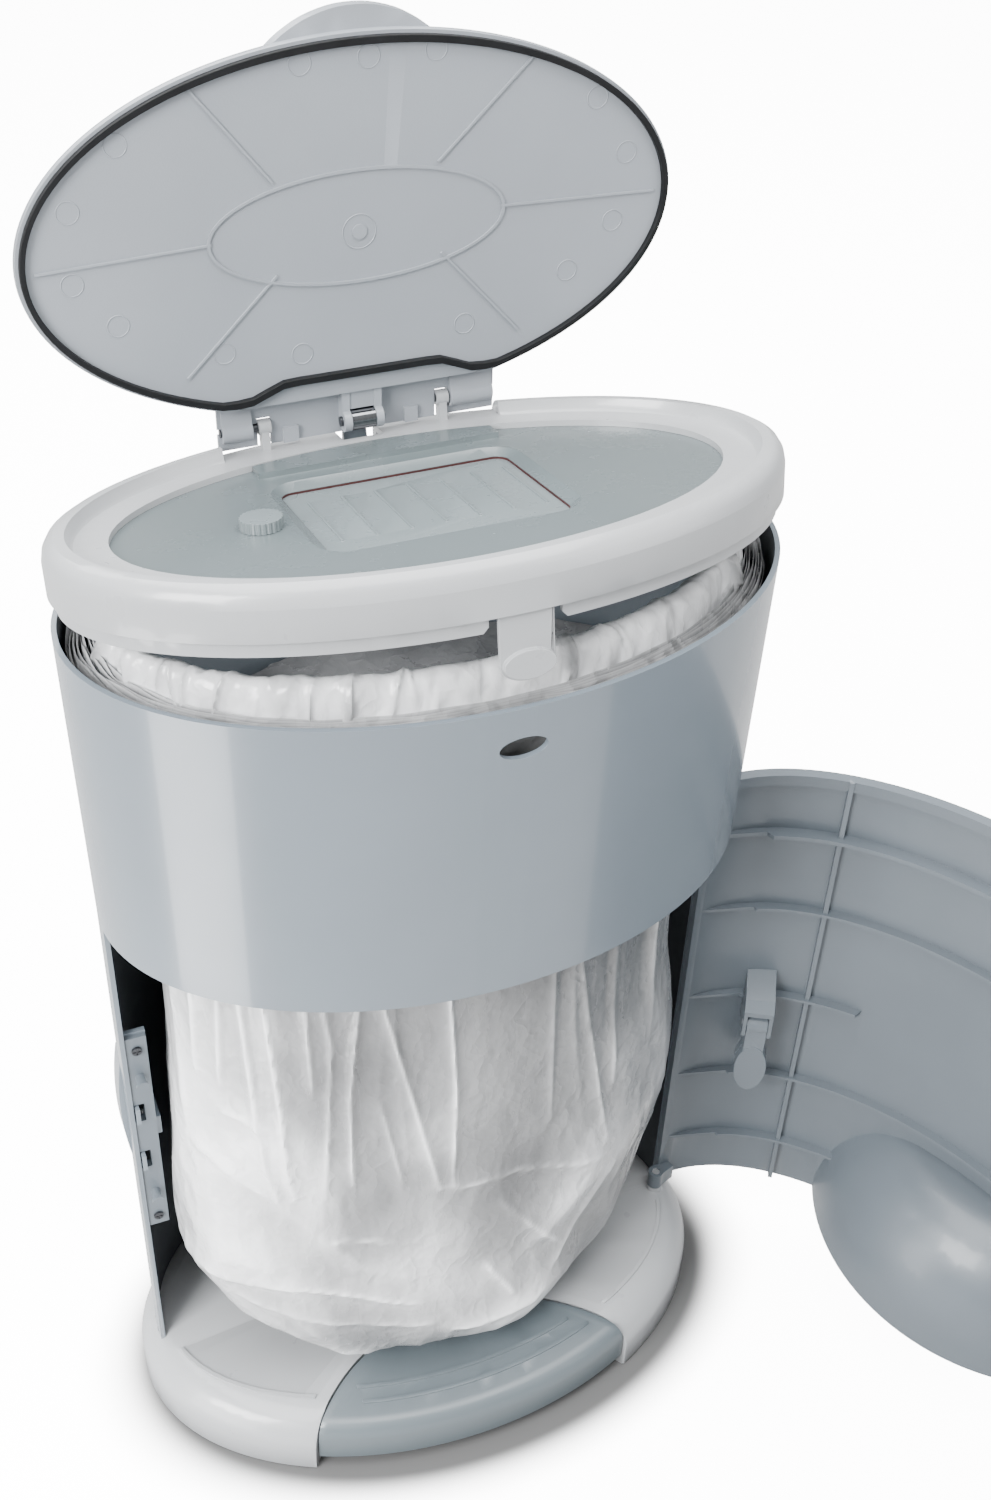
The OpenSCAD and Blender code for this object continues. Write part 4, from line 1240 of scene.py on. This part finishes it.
@dataclass(frozen=True)
class LinerBag:
    """The filled liner hanging under the tray: pleated at the top and sagging on the base.

    Attributes:
        rings: height, half length, half width and middle (x, y) of the bag's rings.
        ridges: a path, the width and the height of each ridge.
        back: points that lie further back than this have no ridges.
        pockets: a middle (x, y, z), the size and the height of each bulge.
        light_and_shade_patches: painted light and shade, each a place (x, z) seen from the front, its two
            sizes and what is added to the tone there.
        grid: points round the bag and along it.
        denser: how much denser the points are at the front.
        folds: number of pleats.
        seed: which pleats.
        slant: how much the pleats slant, in radians per millimetre.
        widths: narrowest and widest pleat, in radians.
        heights: lowest and highest pleat.
        feet: lowest and highest that a pleat may end.
        hem: height that the pleats slant from.
        fade: length over which a pleat fades.
        slack: height where the film starts to hang free of sags, and how far down it starts.
        foot: height below which the folds are pressed flat, and over how much they come.
        tuck: how far the whole film is drawn in.
        limits: lowest and highest that a point may move.
        ground: lowest point of the film.
        under_tray: height where the shade of the tray starts, and over how much it deepens.
        to_right: place along x where the bag's shaded side starts, and over how much it deepens.
        tones: tone of the plain film, and what a millimetre of fold (painted light on bulges, painted shade
            in hollows), of ridge and of crest (painted highlights) adds.
        darker: what the blotches add or take, and the painted shade that the shaded side and the tray's shade
            take.
            broad, sags, crumples, fine, blotches: waves of the folds and of the tone.
        finer: share of the fine waves where the film hangs free, and everywhere.
    """

    rings: tuple[tuple[float, ...], ...] = (
        (543, 161, 86, 0, 5), (500, 165, 87, 0, 6), (446, 168, 88, 1, 6), (400, 169, 89, 2, 5),
        (345, 170, 90, 2, 4), (300, 174, 91, 3, 3), (250, 178, 92, 4, 2), (205, 178, 94, 1, 0),
        (178, 177, 94, -1, 0), (150, 174, 94, -4, 0), (120, 165, 95, -4, -3), (100, 154, 95, -3, -5),
        (85, 143, 90, -3, -7), (75, 132, 84, -2, -9), (65, 118, 75, -1, -11), (57.5, 100, 64, 0, -12),
        (52.5, 78, 50, -2, -12), (50, 48, 30, -5, -12), (49.3, 18, 11, -6, -12))
    ridges: tuple[tuple[tuple[tuple[float, float, float], ...], float, float], ...] = (
        (((-134, -48, 440), (-129, -55, 321), (-121, -65, 239)), 3.2, 4.5),
        (((-121, -55, 440), (-115, -62, 324), (-111, -68, 241)), 3.4, 5.0),
        (((-99, -66, 440), (-97, -69, 333)), 3.0, 3.6),
        (((-92, -70, 440), (-85, -72, 374), (-93, -76, 244)), 2.2, 3.0),
        (((-66, -74, 440), (-76, -76, 329), (-76, -80, 250)), 2.6, 4.2),
        (((-60, -76, 440), (-54, -78, 401), (-22, -89, 241)), 3.0, 4.6),
        (((-18, -82, 440), (-12, -86, 329), (-13, -90, 242)), 2.6, 4.0),
        (((-155, -27, 440), (-158, -27, 336)), 2.4, 3.0),
        (((-142, -41, 440), (-147, -40, 332)), 2.6, 3.2),
        (((-165, -10, 440), (-166, -20, 287)), 3.0, 3.4),
        (((66, -76, 440), (72, -76, 394), (99, -77, 226)), 2.6, 3.0),
        (((101, -68, 440), (102, -73, 276)), 2.8, 3.2),
        (((52, -80, 440), (55, -85, 270)), 2.4, 2.6),
        (((130, -52, 440), (136, -50, 300)), 3.0, 3.4),
        (((-149, -40, 314), (-119, -61, 307)), 4.5, 4.0),
        (((-165, -24, 276), (-124, -63, 242)), 5.0, 4.0),
        (((-166, -34, 157), (-112, -74, 161), (-36, -94, 134)), 4.5, 4.6),
        (((-150, -50, 140), (-90, -82, 120), (-30, -98, 112)), 3.6, 3.4),
        (((-15, -99, 103), (52, -93, 107)), 4.5, 5.0),
        (((9, -93, 156), (30, -96, 117)), 3.5, 4.0),
        (((-22, -89, 241), (33, -89, 235), (96, -78, 214)), 6.0, 4.0),
        (((-92, -78, 206), (-54, -88, 199)), 5.0, 3.5),
        (((19, -91, 213), (68, -86, 140)), 3.2, 3.5),
        (((-58, -81, 322), (-45, -87, 246)), 2.2, 2.4),
        (((110, -66, 200), (60, -88, 120)), 4.0, 4.0),
        (((-120, -60, 236), (-70, -84, 175)), 4.2, 3.0))
    back: float = 40
    pockets: tuple[tuple[float, ...], ...] = (
        (-125, -62, 275, 34, 4.0), (-20, -92, 175, 46, 4.0), (70, -84, 190, 40, 4.5),
        (-80, -84, 130, 40, 4.0), (-70, -72, 62, 26, 11.0), (40, -92, 90, 34, 4.0),
        (-150, -30, 190, 36, 3.5), (120, -60, 290, 36, 3.5))
    light_and_shade_patches: tuple[tuple[float, ...], ...] = (
        (-165, 290, 36, 130, 0.46), (-105, 238, 55, 50, 0.20), (-70, 352, 55, 34, -0.16),
        (-35, 290, 22, 28, 0.16), (30, 402, 85, 30, -0.16), (10, 190, 42, 66, -0.12),
        (-90, 130, 60, 34, 0.10), (0, 108, 32, 26, -0.10), (75, 175, 40, 30, 0.06))
    grid: tuple[int, int] = (480, 206)
    denser: float = 0.42
    folds: int = 64
    seed: int = 31
    slant: float = 0.0005
    widths: tuple[float, float] = (0.010, 0.034)
    heights: tuple[float, float] = (-1.1, 2.4)
    feet: tuple[float, float] = (200, 400)
    hem: float = 440
    fade: float = 80
    slack: tuple[float, float] = (225, 110)
    foot: tuple[float, float] = (49, 22)
    tuck: float = 3.2
    limits: tuple[float, float] = (-6, 14)
    ground: float = 48.3
    under_tray: tuple[float, float] = (500, 30)
    to_right: tuple[float, float] = (-20, 60)
    tones: tuple[float, float, float, float] = (0.46, 0.07, 0.035, 0.085)
    darker: tuple[float, float, float] = (0.08, 0.12, 0.3)
    broad: Waves = Waves(22, 3, 11, 1.0, 10, 150, 0.9)
    sags: Waves = Waves(24, 1, 6, 1.3, 18, 48, 1.6)
    crumples: Waves = Waves(25, 2, 11, 1.6, 20, 34, 1.7)
    fine: Waves = Waves(26, 8, 34, 2.0, 24, 12)
    blotches: Waves = Waves(27, 1, 5, 1.2, 12, 70)
    finer: tuple[float, float] = (0.25, 0.12)

    def build(self) -> bpy.types.Object:
        """Builds the bag.

        A point stands at (cx + a cos u, cy + b sin u, z) along the rings, denser at the front, and
        moves along its normal by pleats, listed ridges, broad bulges
        h exp(-(distance / size)^2) and waves. Ridges and pleats are lighter, hollows darker: painted
        highlights and painted shade.

        Returns:
            The piece.
        """
        around, along = self.grid
        t = np.linspace(0, 1, around, endpoint=False)
        u = (TURN * t - self.denser * np.cos(TURN * t))[:, None]
        z, a, b, cx, cy = Surface.through(self.rings, along).T
        pts = Surface.rings(u, a, b, z, cx, cy)
        outwards = -Surface.normals(pts)
        low = 1 - Surface.rise(z, *self.slack)
        fine = self.fine.creases(u, z)
        sagging = self.sags.at(u, z) + self.crumples.creases(u, z) + self.finer[0] * fine
        move = self.broad.at(u, z) + low * sagging + self.finer[1] * fine + self._pleats(u, z)
        lift, highlight_line = self._ridges(pts)
        for x, y, h, size, height in self.pockets:
            d = np.linalg.norm(pts - np.array([x, y, h]), axis=-1)
            move = move + height * np.exp(-((d / size) ** 2))
        total = (move + lift) * Surface.rise(z, *self.foot) - self.tuck
        pts = pts + outwards * np.clip(total, *self.limits)[..., None]
        pts[..., 2] = np.maximum(pts[..., 2], self.ground)
        # painted highlights on bulges, ridges and crests, painted shade in hollows
        tone = self._tone_with_painted_light(pts, low * np.tanh(self.blotches.at(u, z)), move, lift, highlight_line)
        tone = tone - self.darker[2] * Surface.rise(z, *self.under_tray)
        tone = np.clip(tone, 0.03, 1.0)
        return Surface.film("liner_bag_filled", pts[:, ::-1], tone[:, ::-1], tube=False, smooth=70)

    def _tone_with_painted_light(self, points: np.ndarray, blotches: np.ndarray, move: np.ndarray, lift: np.ndarray,
              highlight_line: np.ndarray) -> np.ndarray:
        """The film's painted light and shade: painted highlights on folds, ridges and crests, painted shade
        in hollows and on the shaded side, and the blotches.

        Args:
            points: the bag's grid.
            blotches: slow waves that make the lower film lighter and darker in broad patches.
            move: how far the folds move each point.
            lift: how far the ridges move it.
            highlight_line: height of the narrow crests, which only paints highlight lines.

        Returns:
            Array of the tones.
        """
        plain, by_fold, by_ridge, by_highlight_line = self.tones
        tone = plain + by_fold * (move - 1.0) + by_ridge * lift + by_highlight_line * highlight_line + self.darker[0] * blotches
        x, h = points[..., 0], points[..., 2]
        # painted light and shade in patches on the front
        for at_x, at_h, wide, tall, change in self.light_and_shade_patches:
            tone = tone + change * np.exp(-(((x - at_x) / wide) ** 2) - ((h - at_h) / tall) ** 2)
        return tone - self.darker[1] * Surface.rise(x, *self.to_right)

    def _pleats(self, u: np.ndarray, z: np.ndarray) -> np.ndarray:
        """Hanging folds: each a ridge h exp(-distance / width) down one line, fading at its lower end.

        Args:
            u: angles, as a column.
            z: heights of the rings.

        Returns:
            Array (u, z) of how far each point moves out.
        """
        rng = np.random.default_rng(self.seed)
        total = np.zeros(self.grid)
        for _ in range(self.folds):
            at, slant, wide = rng.uniform(0, TURN), rng.normal(0, self.slant), rng.uniform(*self.widths)
            high, foot = rng.uniform(*self.heights), rng.uniform(*self.feet)
            fade = Surface.rise(z, foot, self.fade) ** 0.7
            off = Surface.apart(u - (at + slant * (self.hem - z)))
            total += high * fade * np.exp(-off / (wide * (0.6 + 0.9 * fade)))
        return total

    def _ridges(self, points: np.ndarray) -> tuple[np.ndarray, np.ndarray]:
        """Listed ridges: each h exp(-distance / width) beside its path, lower at the path's ends.

        Distances are those seen from the front, where depth counts for little, so that a ridge
        stays on the film. The back of the bag has none.

        Args:
            points: the bag's grid.

        Returns:
            How far each point moves out, and the narrow crests along the ridges' tops, which only paint
            highlight lines into the tone.
        """
        front_view = np.array([1.0, 0.35, 1.0])
        lift, highlight_line = np.zeros(self.grid), np.zeros(self.grid)
        for path, width, height in self.ridges:
            _, along = Surface.distance(points, path)
            ends = np.clip(np.minimum(along, 1 - along) * 5 + 0.35, 0, 1)
            near, _ = Surface.distance(points * front_view, [np.array(p) * front_view for p in path])
            near = np.where(points[..., 1] < self.back, near, np.inf)
            lift += height * ends * np.exp(-near / width)
            highlight_line += height * ends * np.exp(-((near / 1.3) ** 2))
        return lift, highlight_line


# --------------------------------------------------------------------------- sub-assemblies


@dataclass(frozen=True)
class SubAssembly:
    """Nodes of the frame that belong together: some are redrawn, the others only get a finish."""

    def mouldings(self) -> list[Moulding]:
        """The nodes that are redrawn."""
        return []

    def finishes(self) -> dict[Finish, list[str]]:
        """The nodes whose shape is right, under their finish."""
        return {}

    def build(self, frame: dict) -> None:
        """Builds the mouldings and dresses the other nodes.
        """
        for moulding in self.mouldings():
            moulding.build(frame)
        for finish, names in self.finishes().items():
            for name in names:
                finish.dress(frame["nodes"][name])
                log.info("dressed %s as %s", name, finish.name)


@dataclass(frozen=True)
class BaseGroup(SubAssembly):
    """The base with its floor plate and feet."""

    outline: Oval = BASE_OVAL
    edge: float = 0.0008
    floor_edge: float = 0.0004

    def mouldings(self) -> list[Moulding]:
        """The base and its floor plate."""
        return [Moulding(node, Body.BODY, Finish.PEARL_WHITE, oval=self.outline, edge=edge)
                for node, edge in (("base", self.edge), ("base_floor", self.floor_edge))]

    def finishes(self) -> dict[Finish, list[str]]:
        """The feet."""
        return {Finish.SEAL: ["base_feet"]}


@dataclass(frozen=True)
class BodyGroup(SubAssembly):
    """The body shell, its latch plate and the side release."""

    outline: Oval = BODY_OVAL
    edge: float = 0.0007
    release_smooth: float = 25

    def mouldings(self) -> list[Moulding]:
        """The shell and the release.

        Returns:
            The mouldings.
        """
        # the shell's inner faces get painted shade, a darker copy of its blue
        return [Moulding("body_shell", Body.BODY, Finish.GLOSS_BLUE, oval=self.outline, edge=self.edge,
                         inner_shade=Finish.INSIDE),
                Moulding("door_release", Body.RELEASE, Finish.GLOSS_BLUE, smooth=self.release_smooth)]

    def finishes(self) -> dict[Finish, list[str]]:
        """Guides, latch plate, screws, pins and spring.

        Returns:
            The nodes under their finish.
        """
        return {Finish.SATIN_GREY: ["rod_guides", "latch_plate", "latch_pegs"],
                Finish.DARK_STEEL: ["latch_screws"],
                Finish.STEEL: ["release_spring", "door_pins", "collar_pins"]}


@dataclass(frozen=True)
class PedalGroup(SubAssembly):
    """The pedal, its lever, spring and push rod."""

    outline: Oval = BASE_OVAL
    smooth: float = 50

    def mouldings(self) -> list[Moulding]:
        """The pad."""
        return [Moulding("pedal_pad", Body.PEDAL, Finish.PEDAL_GREY, oval=self.outline, smooth=self.smooth)]

    def finishes(self) -> dict[Finish, list[str]]:
        """Lever and rod, screws, axle and springs."""
        return {Finish.SATIN_GREY: ["pedal_lever", "push_rod"],
                Finish.STEEL: ["pedal_screws", "pedal_axle", "pedal_spring"]}


@dataclass(frozen=True)
class FilmGroup(SubAssembly):
    """The film tray, the folded pack, the film drawn from it and the hanging bag.

    Attributes:
        outline: oval of the tray.
        edge: width of its softened edges.
        pack: the folded pack.
        ring: the film over the rim.
        bag: the hanging bag.
        pressed: share of its depth that the bag keeps behind the shut door; not used.
        wall: point at the bag's back that it is pressed towards; not used.
    """

    outline: Oval = Oval(0.1656, 0.0896)
    edge: float = 0.0004
    pack: FilmPack = FilmPack()
    ring: FilmRing = FilmRing()
    bag: LinerBag = LinerBag()
    pressed: float = 0.66
    wall: tuple[float, float, float] = (0, 0.09, 0.3)

    def mouldings(self) -> list[Moulding]:
        """The tray."""
        return [Moulding("film_tray", Body.BODY, Finish.SATIN_GREY, oval=self.outline, edge=self.edge)]

    def build(self, frame: dict) -> None:
        """Builds the tray and the film pieces.
        """
        super().build(frame)
        pack, ring, bag = self.pack.build(), self.ring.build(), self.bag.build()
        for piece, node in ((pack, "film_pack"), (ring, "film_roll"), (bag, "liner_bag")):
            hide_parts(node)
            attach(piece, Body.BODY.value)
            log.info("film piece %s: %d faces", piece.name, len(piece.data.polygons))
        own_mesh(bag)


@dataclass(frozen=True)
class CollarGroup(SubAssembly):
    """The tipping collar with its trap panel, flap, knob and latch."""

    ring: Oval = Oval(0.1993, 0.1215)
    panel: Oval = Oval(0.1643, 0.0928)
    edge: float = 0.0007
    tongue_edge: float = 0.0004
    small_edge: float = 0.0003

    def mouldings(self) -> list[Moulding]:
        """Ring, panel, flap, knob and tongue.

        Returns:
            The mouldings.
        """
        return [Moulding("collar_ring", Body.COLLAR, Finish.PEARL_WHITE, COLLAR, self.ring, edge=self.edge),
                Moulding("trap_panel", Body.COLLAR, Finish.PANEL_GREY, COLLAR, self.panel),
                Moulding("trap_flap", Body.FLAP, Finish.PALE_GREY, COLLAR, edge=self.small_edge),
                Moulding("turn_knob", Body.KNOB, Finish.PALE_GREY, COLLAR, edge=self.small_edge),
                Moulding("latch_tongue", Body.TONGUE, Finish.PEARL_WHITE, COLLAR, edge=self.tongue_edge)]

    def finishes(self) -> dict[Finish, list[str]]:
        """Gasket, flap pin and spring, and the lid's pins.

        Returns:
            The nodes under their finish.
        """
        return {Finish.GASKET: ["flap_gasket"],
                Finish.STEEL: ["flap_pin", "flap_spring"],
                Finish.DARK_STEEL: ["lid_pins"]}


@dataclass(frozen=True)
class LidMarks:
    """The faint rings that ejector pins and the gate leave on the underside of the lid.

    Attributes:
        pins: middles of the ejector marks on the closed lid.
        gate: middle of the gate mark.
        pin_ring: radius and thickness of an ejector mark.
        gate_ring: radius and thickness of the gate mark.
        face: height of the closed lid's underside.
        steps: points round a ring and round its thickness.
    """

    pins: tuple[tuple[float, float], ...] = (
        (-151, -25), (-153, 12), (-132, 37), (-77, 61), (-124, -55), (-29, -84), (7, -84), (43, -84),
        (134, -50), (153, -19), (147, 18), (121, 43), (60, 65), (-34, 68))
    gate: tuple[float, float] = (0.0, 4.5)
    pin_ring: tuple[float, float] = (5.8, 0.32)
    gate_ring: tuple[float, float] = (9.2, 0.34)
    face: float = 664.5
    steps: tuple[int, int] = (48, 8)

    def build(self) -> None:
        """Builds every ring in the lid's plane.

        A ring is the torus (r + w cos v) cos u, (r + w cos v) sin u, face + w sin v.
        """
        rings = [(*pin, *self.pin_ring) for pin in self.pins] + [(*self.gate, *self.gate_ring)]
        x, y, r, w = (np.array(column)[:, None, None] for column in zip(*rings))
        u, v = (np.linspace(0, TURN, count, endpoint=False) for count in self.steps)
        u, v = u[None, :, None], v[None, None, :]
        pts = np.stack([x + (r + w * np.cos(v)) * np.cos(u), y + (r + w * np.cos(v)) * np.sin(u),
                        self.face + w * np.sin(v) + 0 * u], -1)
        first = np.arange(len(rings))[:, None, None] * math.prod(self.steps)
        faces = (first + Mesher.grid_faces(*self.steps, wrap_u=True, wrap_v=True)).reshape(-1, 4)
        obj = Mesher.from_arrays("lid_mould_marks", LID.put(pts.reshape(-1, 3) * MM), faces, 80)
        Finish.LID_GREY.dress(obj)
        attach(obj, Body.LID.value)


@dataclass(frozen=True)
class LidGroup(SubAssembly):
    """The hinged lid: dome, inner panel, seal, hinge flange and roller."""

    outline: Oval = Oval(0.1808, 0.101)
    inner_edge: float = 0.0003
    seal_edge: float = 0.0008
    seal_sides: int = 120
    seal_swell: float = 0.0008
    lug_edge: float = 0.0005
    marks: LidMarks = LidMarks()

    def mouldings(self) -> list[Moulding]:
        """Dome, inner panel, seal and hinge flange.

        Returns:
            The mouldings.
        """
        return [Moulding("lid_outer", Body.LID, Finish.LID_GREY, LID, self.outline),
                Moulding("lid_inner", Body.LID, Finish.LID_GREY, LID, edge=self.inner_edge),
                Moulding("lid_seal", Body.LID, Finish.SEAL, LID, self.outline, edge=self.seal_edge,
                         sides=self.seal_sides, swell=self.seal_swell),
                Moulding("lid_hinge_lugs", Body.LID, Finish.LID_GREY, LID, edge=self.lug_edge)]

    def finishes(self) -> dict[Finish, list[str]]:
        """The roller and its pin."""
        return {Finish.CHROME: ["lid_roller"], Finish.DARK_STEEL: ["roller_pin"]}

    def build(self, frame: dict) -> None:
        """Builds the lid and its marks.
        """
        super().build(frame)
        self.marks.build()


@dataclass(frozen=True)
class DoorGroup(SubAssembly):
    """The front door with its toe recess and film cutter."""

    outline: Oval = BODY_OVAL
    edge: float = 0.0005

    def mouldings(self) -> list[Moulding]:
        """The door, and the cutter's bracket and lever.

        Returns:
            The mouldings.
        """
        return [Moulding("door_panel", Body.DOOR, Finish.SATIN_GREY, DOOR, self.outline, edge=self.edge),
                Moulding("cutter_bracket", Body.DOOR, Finish.SATIN_GREY, DOOR, edge=self.edge),
                Moulding("cutter_lever", Body.CUTTER, Finish.SATIN_GREY, DOOR, edge=self.edge)]

    def finishes(self) -> dict[Finish, list[str]]:
        """The cutter's blade and pin."""
        return {Finish.STEEL: ["cutter_blade", "cutter_pin"]}


# --------------------------------------------------------------------------- studio


def stand(obj: bpy.types.Object, right: np.ndarray, ahead: np.ndarray, place: Sequence[float]) -> None:
    """Puts a camera or light into the scene.

    Args:
        obj: the camera or light.
        right: unit vector to its right.
        ahead: unit vector that it looks along.
        place: where it stands.
    """
    m = np.eye(4)
    m[:3, 0], m[:3, 1], m[:3, 2], m[:3, 3] = right, np.cross(right, ahead), -ahead, place
    obj.matrix_world = Matrix(m.tolist())
    bpy.context.scene.collection.objects.link(obj)


@dataclass(frozen=True)
class SoftBox:
    """An area light that the camera doesn't see.

    Attributes:
        name: its name.
        place: where it stands.
        aim: point that it faces.
        size: its width and height.
        power: watts.
    """

    name: str
    place: tuple[float, float, float]
    aim: tuple[float, float, float]
    size: tuple[float, float]
    power: float

    def build(self) -> None:
        """Adds the light, standing upright."""
        data = bpy.data.lights.new(self.name, "AREA")
        data.shape, data.energy = "RECTANGLE", self.power
        data.size, data.size_y = self.size
        obj = bpy.data.objects.new(self.name, data)
        obj.visible_camera = False
        ahead = np.array(self.aim, float) - np.array(self.place, float)
        ahead /= np.linalg.norm(ahead)
        right = np.cross(ahead, [0, 0, 1.0])
        right /= np.linalg.norm(right)
        stand(obj, right, ahead, self.place)


@dataclass(frozen=True)
class Studio:
    """A pale floor, soft light and the camera.

    Attributes:
        eye: place of the camera.
        yaw: its turn to the left, in degrees.
        down: how far it looks down, in degrees.
        roll: its turn about its own axis, in degrees.
        lens: its focal length in mm on a sensor of 36 mm.
        shift: its shift to the right and up.
        floor_half: half the side of the floor.
        floor_bounce: floor's brightness in reflections.
        floor_seen: floor's brightness to the eye.
        floor_glow: what the floor gives off.
        foot: half length and half width of the oval that the shade follows.
        foot_shift: shift of that oval, as a share of it.
        glow_span: where the floor starts to glow and where it does so fully, in ovals.
        shade_span: the same for the shade close to the base.
        shade: the floor's share of brightness in the deepest shade.
        room_height: heights between which the room gets lighter, from -1 to 1.
        room_light: strength of the room's light at the sides and overhead.
        room_seen: brightness of the room to the eye.
        room_tint: colour of the room's light.
        boxes: overhead, to the left, right and rear, a tall strip low on the left, and a small one
            in the bin's throat.
    """

    eye: tuple[float, float, float] = (-0.28045, -0.72494, 1.14702)
    yaw: float = -20.11
    down: float = 38.02
    roll: float = 0.23
    lens: float = 41.909
    shift: tuple[float, float] = (0.06153, -0.01687)
    floor_half: float = 6.0
    floor_bounce: float = 0.42
    floor_seen: float = 0.92
    floor_glow: float = 11.0
    foot: tuple[float, float] = (0.209, 0.134)
    foot_shift: tuple[float, float, float] = (-0.03, 0.05, 0.0)
    glow_span: tuple[float, float] = (1.00, 1.30)
    shade_span: tuple[float, float] = (1.0, 1.14)
    shade: float = 0.10
    room_height: tuple[float, float] = (-0.1, 0.9)
    room_light: tuple[float, float] = (0.52, 1.0)
    room_seen: float = 14.0
    room_tint: tuple[float, float, float, float] = (0.98, 0.99, 1.0, 1)
    boxes: tuple[SoftBox, ...] = (
        SoftBox("sky_box", (0.0, 0.2, 3.2), (0, 0.1999, 0), (3.2, 3.2), 300.0),
        SoftBox("key_box", (-1.9, -1.1, 1.9), (0, 0, 0.40), (1.1, 1.1), 140.0),
        SoftBox("fill_box", (1.9, -1.5, 1.6), (0.1, 0, 0.4), (1.6, 1.6), 20.0),
        SoftBox("rim_box", (-0.6, 2.0, 2.2), (0, 0, 0.6), (1.5, 1.5), 40.0),
        SoftBox("strip_box", (-0.50, -0.235, 0.21), (0, 0.12, 0.21), (0.26, 0.42), 3.2),
        SoftBox("throat_box", (0.0, 0.005, 0.640), (0, 0.0052, 0.0), (0.24, 0.12), 0.32))

    def camera(self) -> None:
        """Creates the camera: forward = (-sin y cos p, cos y cos p, -sin p), turned by the roll."""
        y, p, r = (math.radians(v) for v in (self.yaw, self.down, self.roll))
        ahead = np.array([-math.sin(y) * math.cos(p), math.cos(y) * math.cos(p), -math.sin(p)])
        side = np.array([math.cos(y), math.sin(y), 0.0])
        right = side * math.cos(r) + np.cross(side, ahead) * math.sin(r)
        data = bpy.data.cameras.new("camera")
        data.lens, data.sensor_width = self.lens, 36.0
        data.shift_x, data.shift_y = self.shift
        data.clip_start, data.clip_end = 0.05, 30.0
        obj = bpy.data.objects.new("camera", data)
        stand(obj, right, ahead, self.eye)
        bpy.context.scene.camera = obj

    def floor(self) -> None:
        """A large pale floor: bright to the eye, duller in reflections, and shaded close to the base."""
        n = MaterialNodes("studio_floor")
        n.fill(n.shader, Roughness=0.85, Emission_Color=(1, 1, 1, 1))
        seen = n.add("ShaderNodeLightPath")
        # how far a point lies outside the base's oval, as a share of the oval's size
        a, b = self.foot
        reach = n.add("ShaderNodeVectorMath", operation="LENGTH")
        n.link(n.mapping(n.coords, "Object", (1 / a, 1 / b, 1.0), self.foot_shift), "Vector", reach, 0)
        glow = n.remap(reach, "Value", self.glow_span, (0.0, self.floor_glow), Ease.SMOOTHER)
        n.link(n.product(glow, "Result", seen, "Is Camera Ray"), 0, n.shader, "Emission Strength")
        shade = n.remap(reach, "Value", self.shade_span, (self.shade, 1.0), Ease.SMOOTH)
        tone = n.remap(seen, "Is Camera Ray", (0.0, 1.0), (self.floor_bounce, self.floor_seen))
        n.link(n.product(shade, "Result", tone, "Result"), 0, n.shader, "Base Color")
        corner = np.array([[-1, -1, 0], [1, -1, 0], [1, 1, 0], [-1, 1, 0]], float)
        obj = Mesher.from_arrays("studio_floor", corner * self.floor_half, np.array([[0, 1, 2, 3]]))
        obj.data.materials.append(n.material)

    def room(self) -> None:
        """A world that is lighter overhead than at the sides, and near white behind the object."""
        world = bpy.data.worlds.new("studio_room")
        world.use_nodes = True
        w = Wiring(world.node_tree)
        height = w.add("ShaderNodeSeparateXYZ")
        w.link(w.add("ShaderNodeTexCoord"), "Generated", height, "Vector")
        strength = w.remap(height, "Z", self.room_height, self.room_light)
        pick = w.remap(w.add("ShaderNodeLightPath"), "Is Camera Ray", (0.0, 1.0), (0.0, self.room_seen))
        w.link(strength, "Result", pick, "To Min")
        back = w.tree.nodes["Background"]
        w.link(pick, "Result", back, "Strength")
        w.fill(back, Color=self.room_tint)
        bpy.context.scene.world = world

    def build(self) -> None:
        """Builds the studio."""
        self.camera()
        self.floor()
        self.room()
        for box in self.boxes:
            box.build()
        log.info("studio ready")


def main() -> None:
    """Builds the whole bin."""
    logging.basicConfig(level=logging.INFO, format="%(message)s")
    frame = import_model()
    Studio().build()
    for group in (BaseGroup, BodyGroup, PedalGroup, FilmGroup, CollarGroup, LidGroup, DoorGroup):
        group().build(frame)


if __name__ == "__main__":
    main()
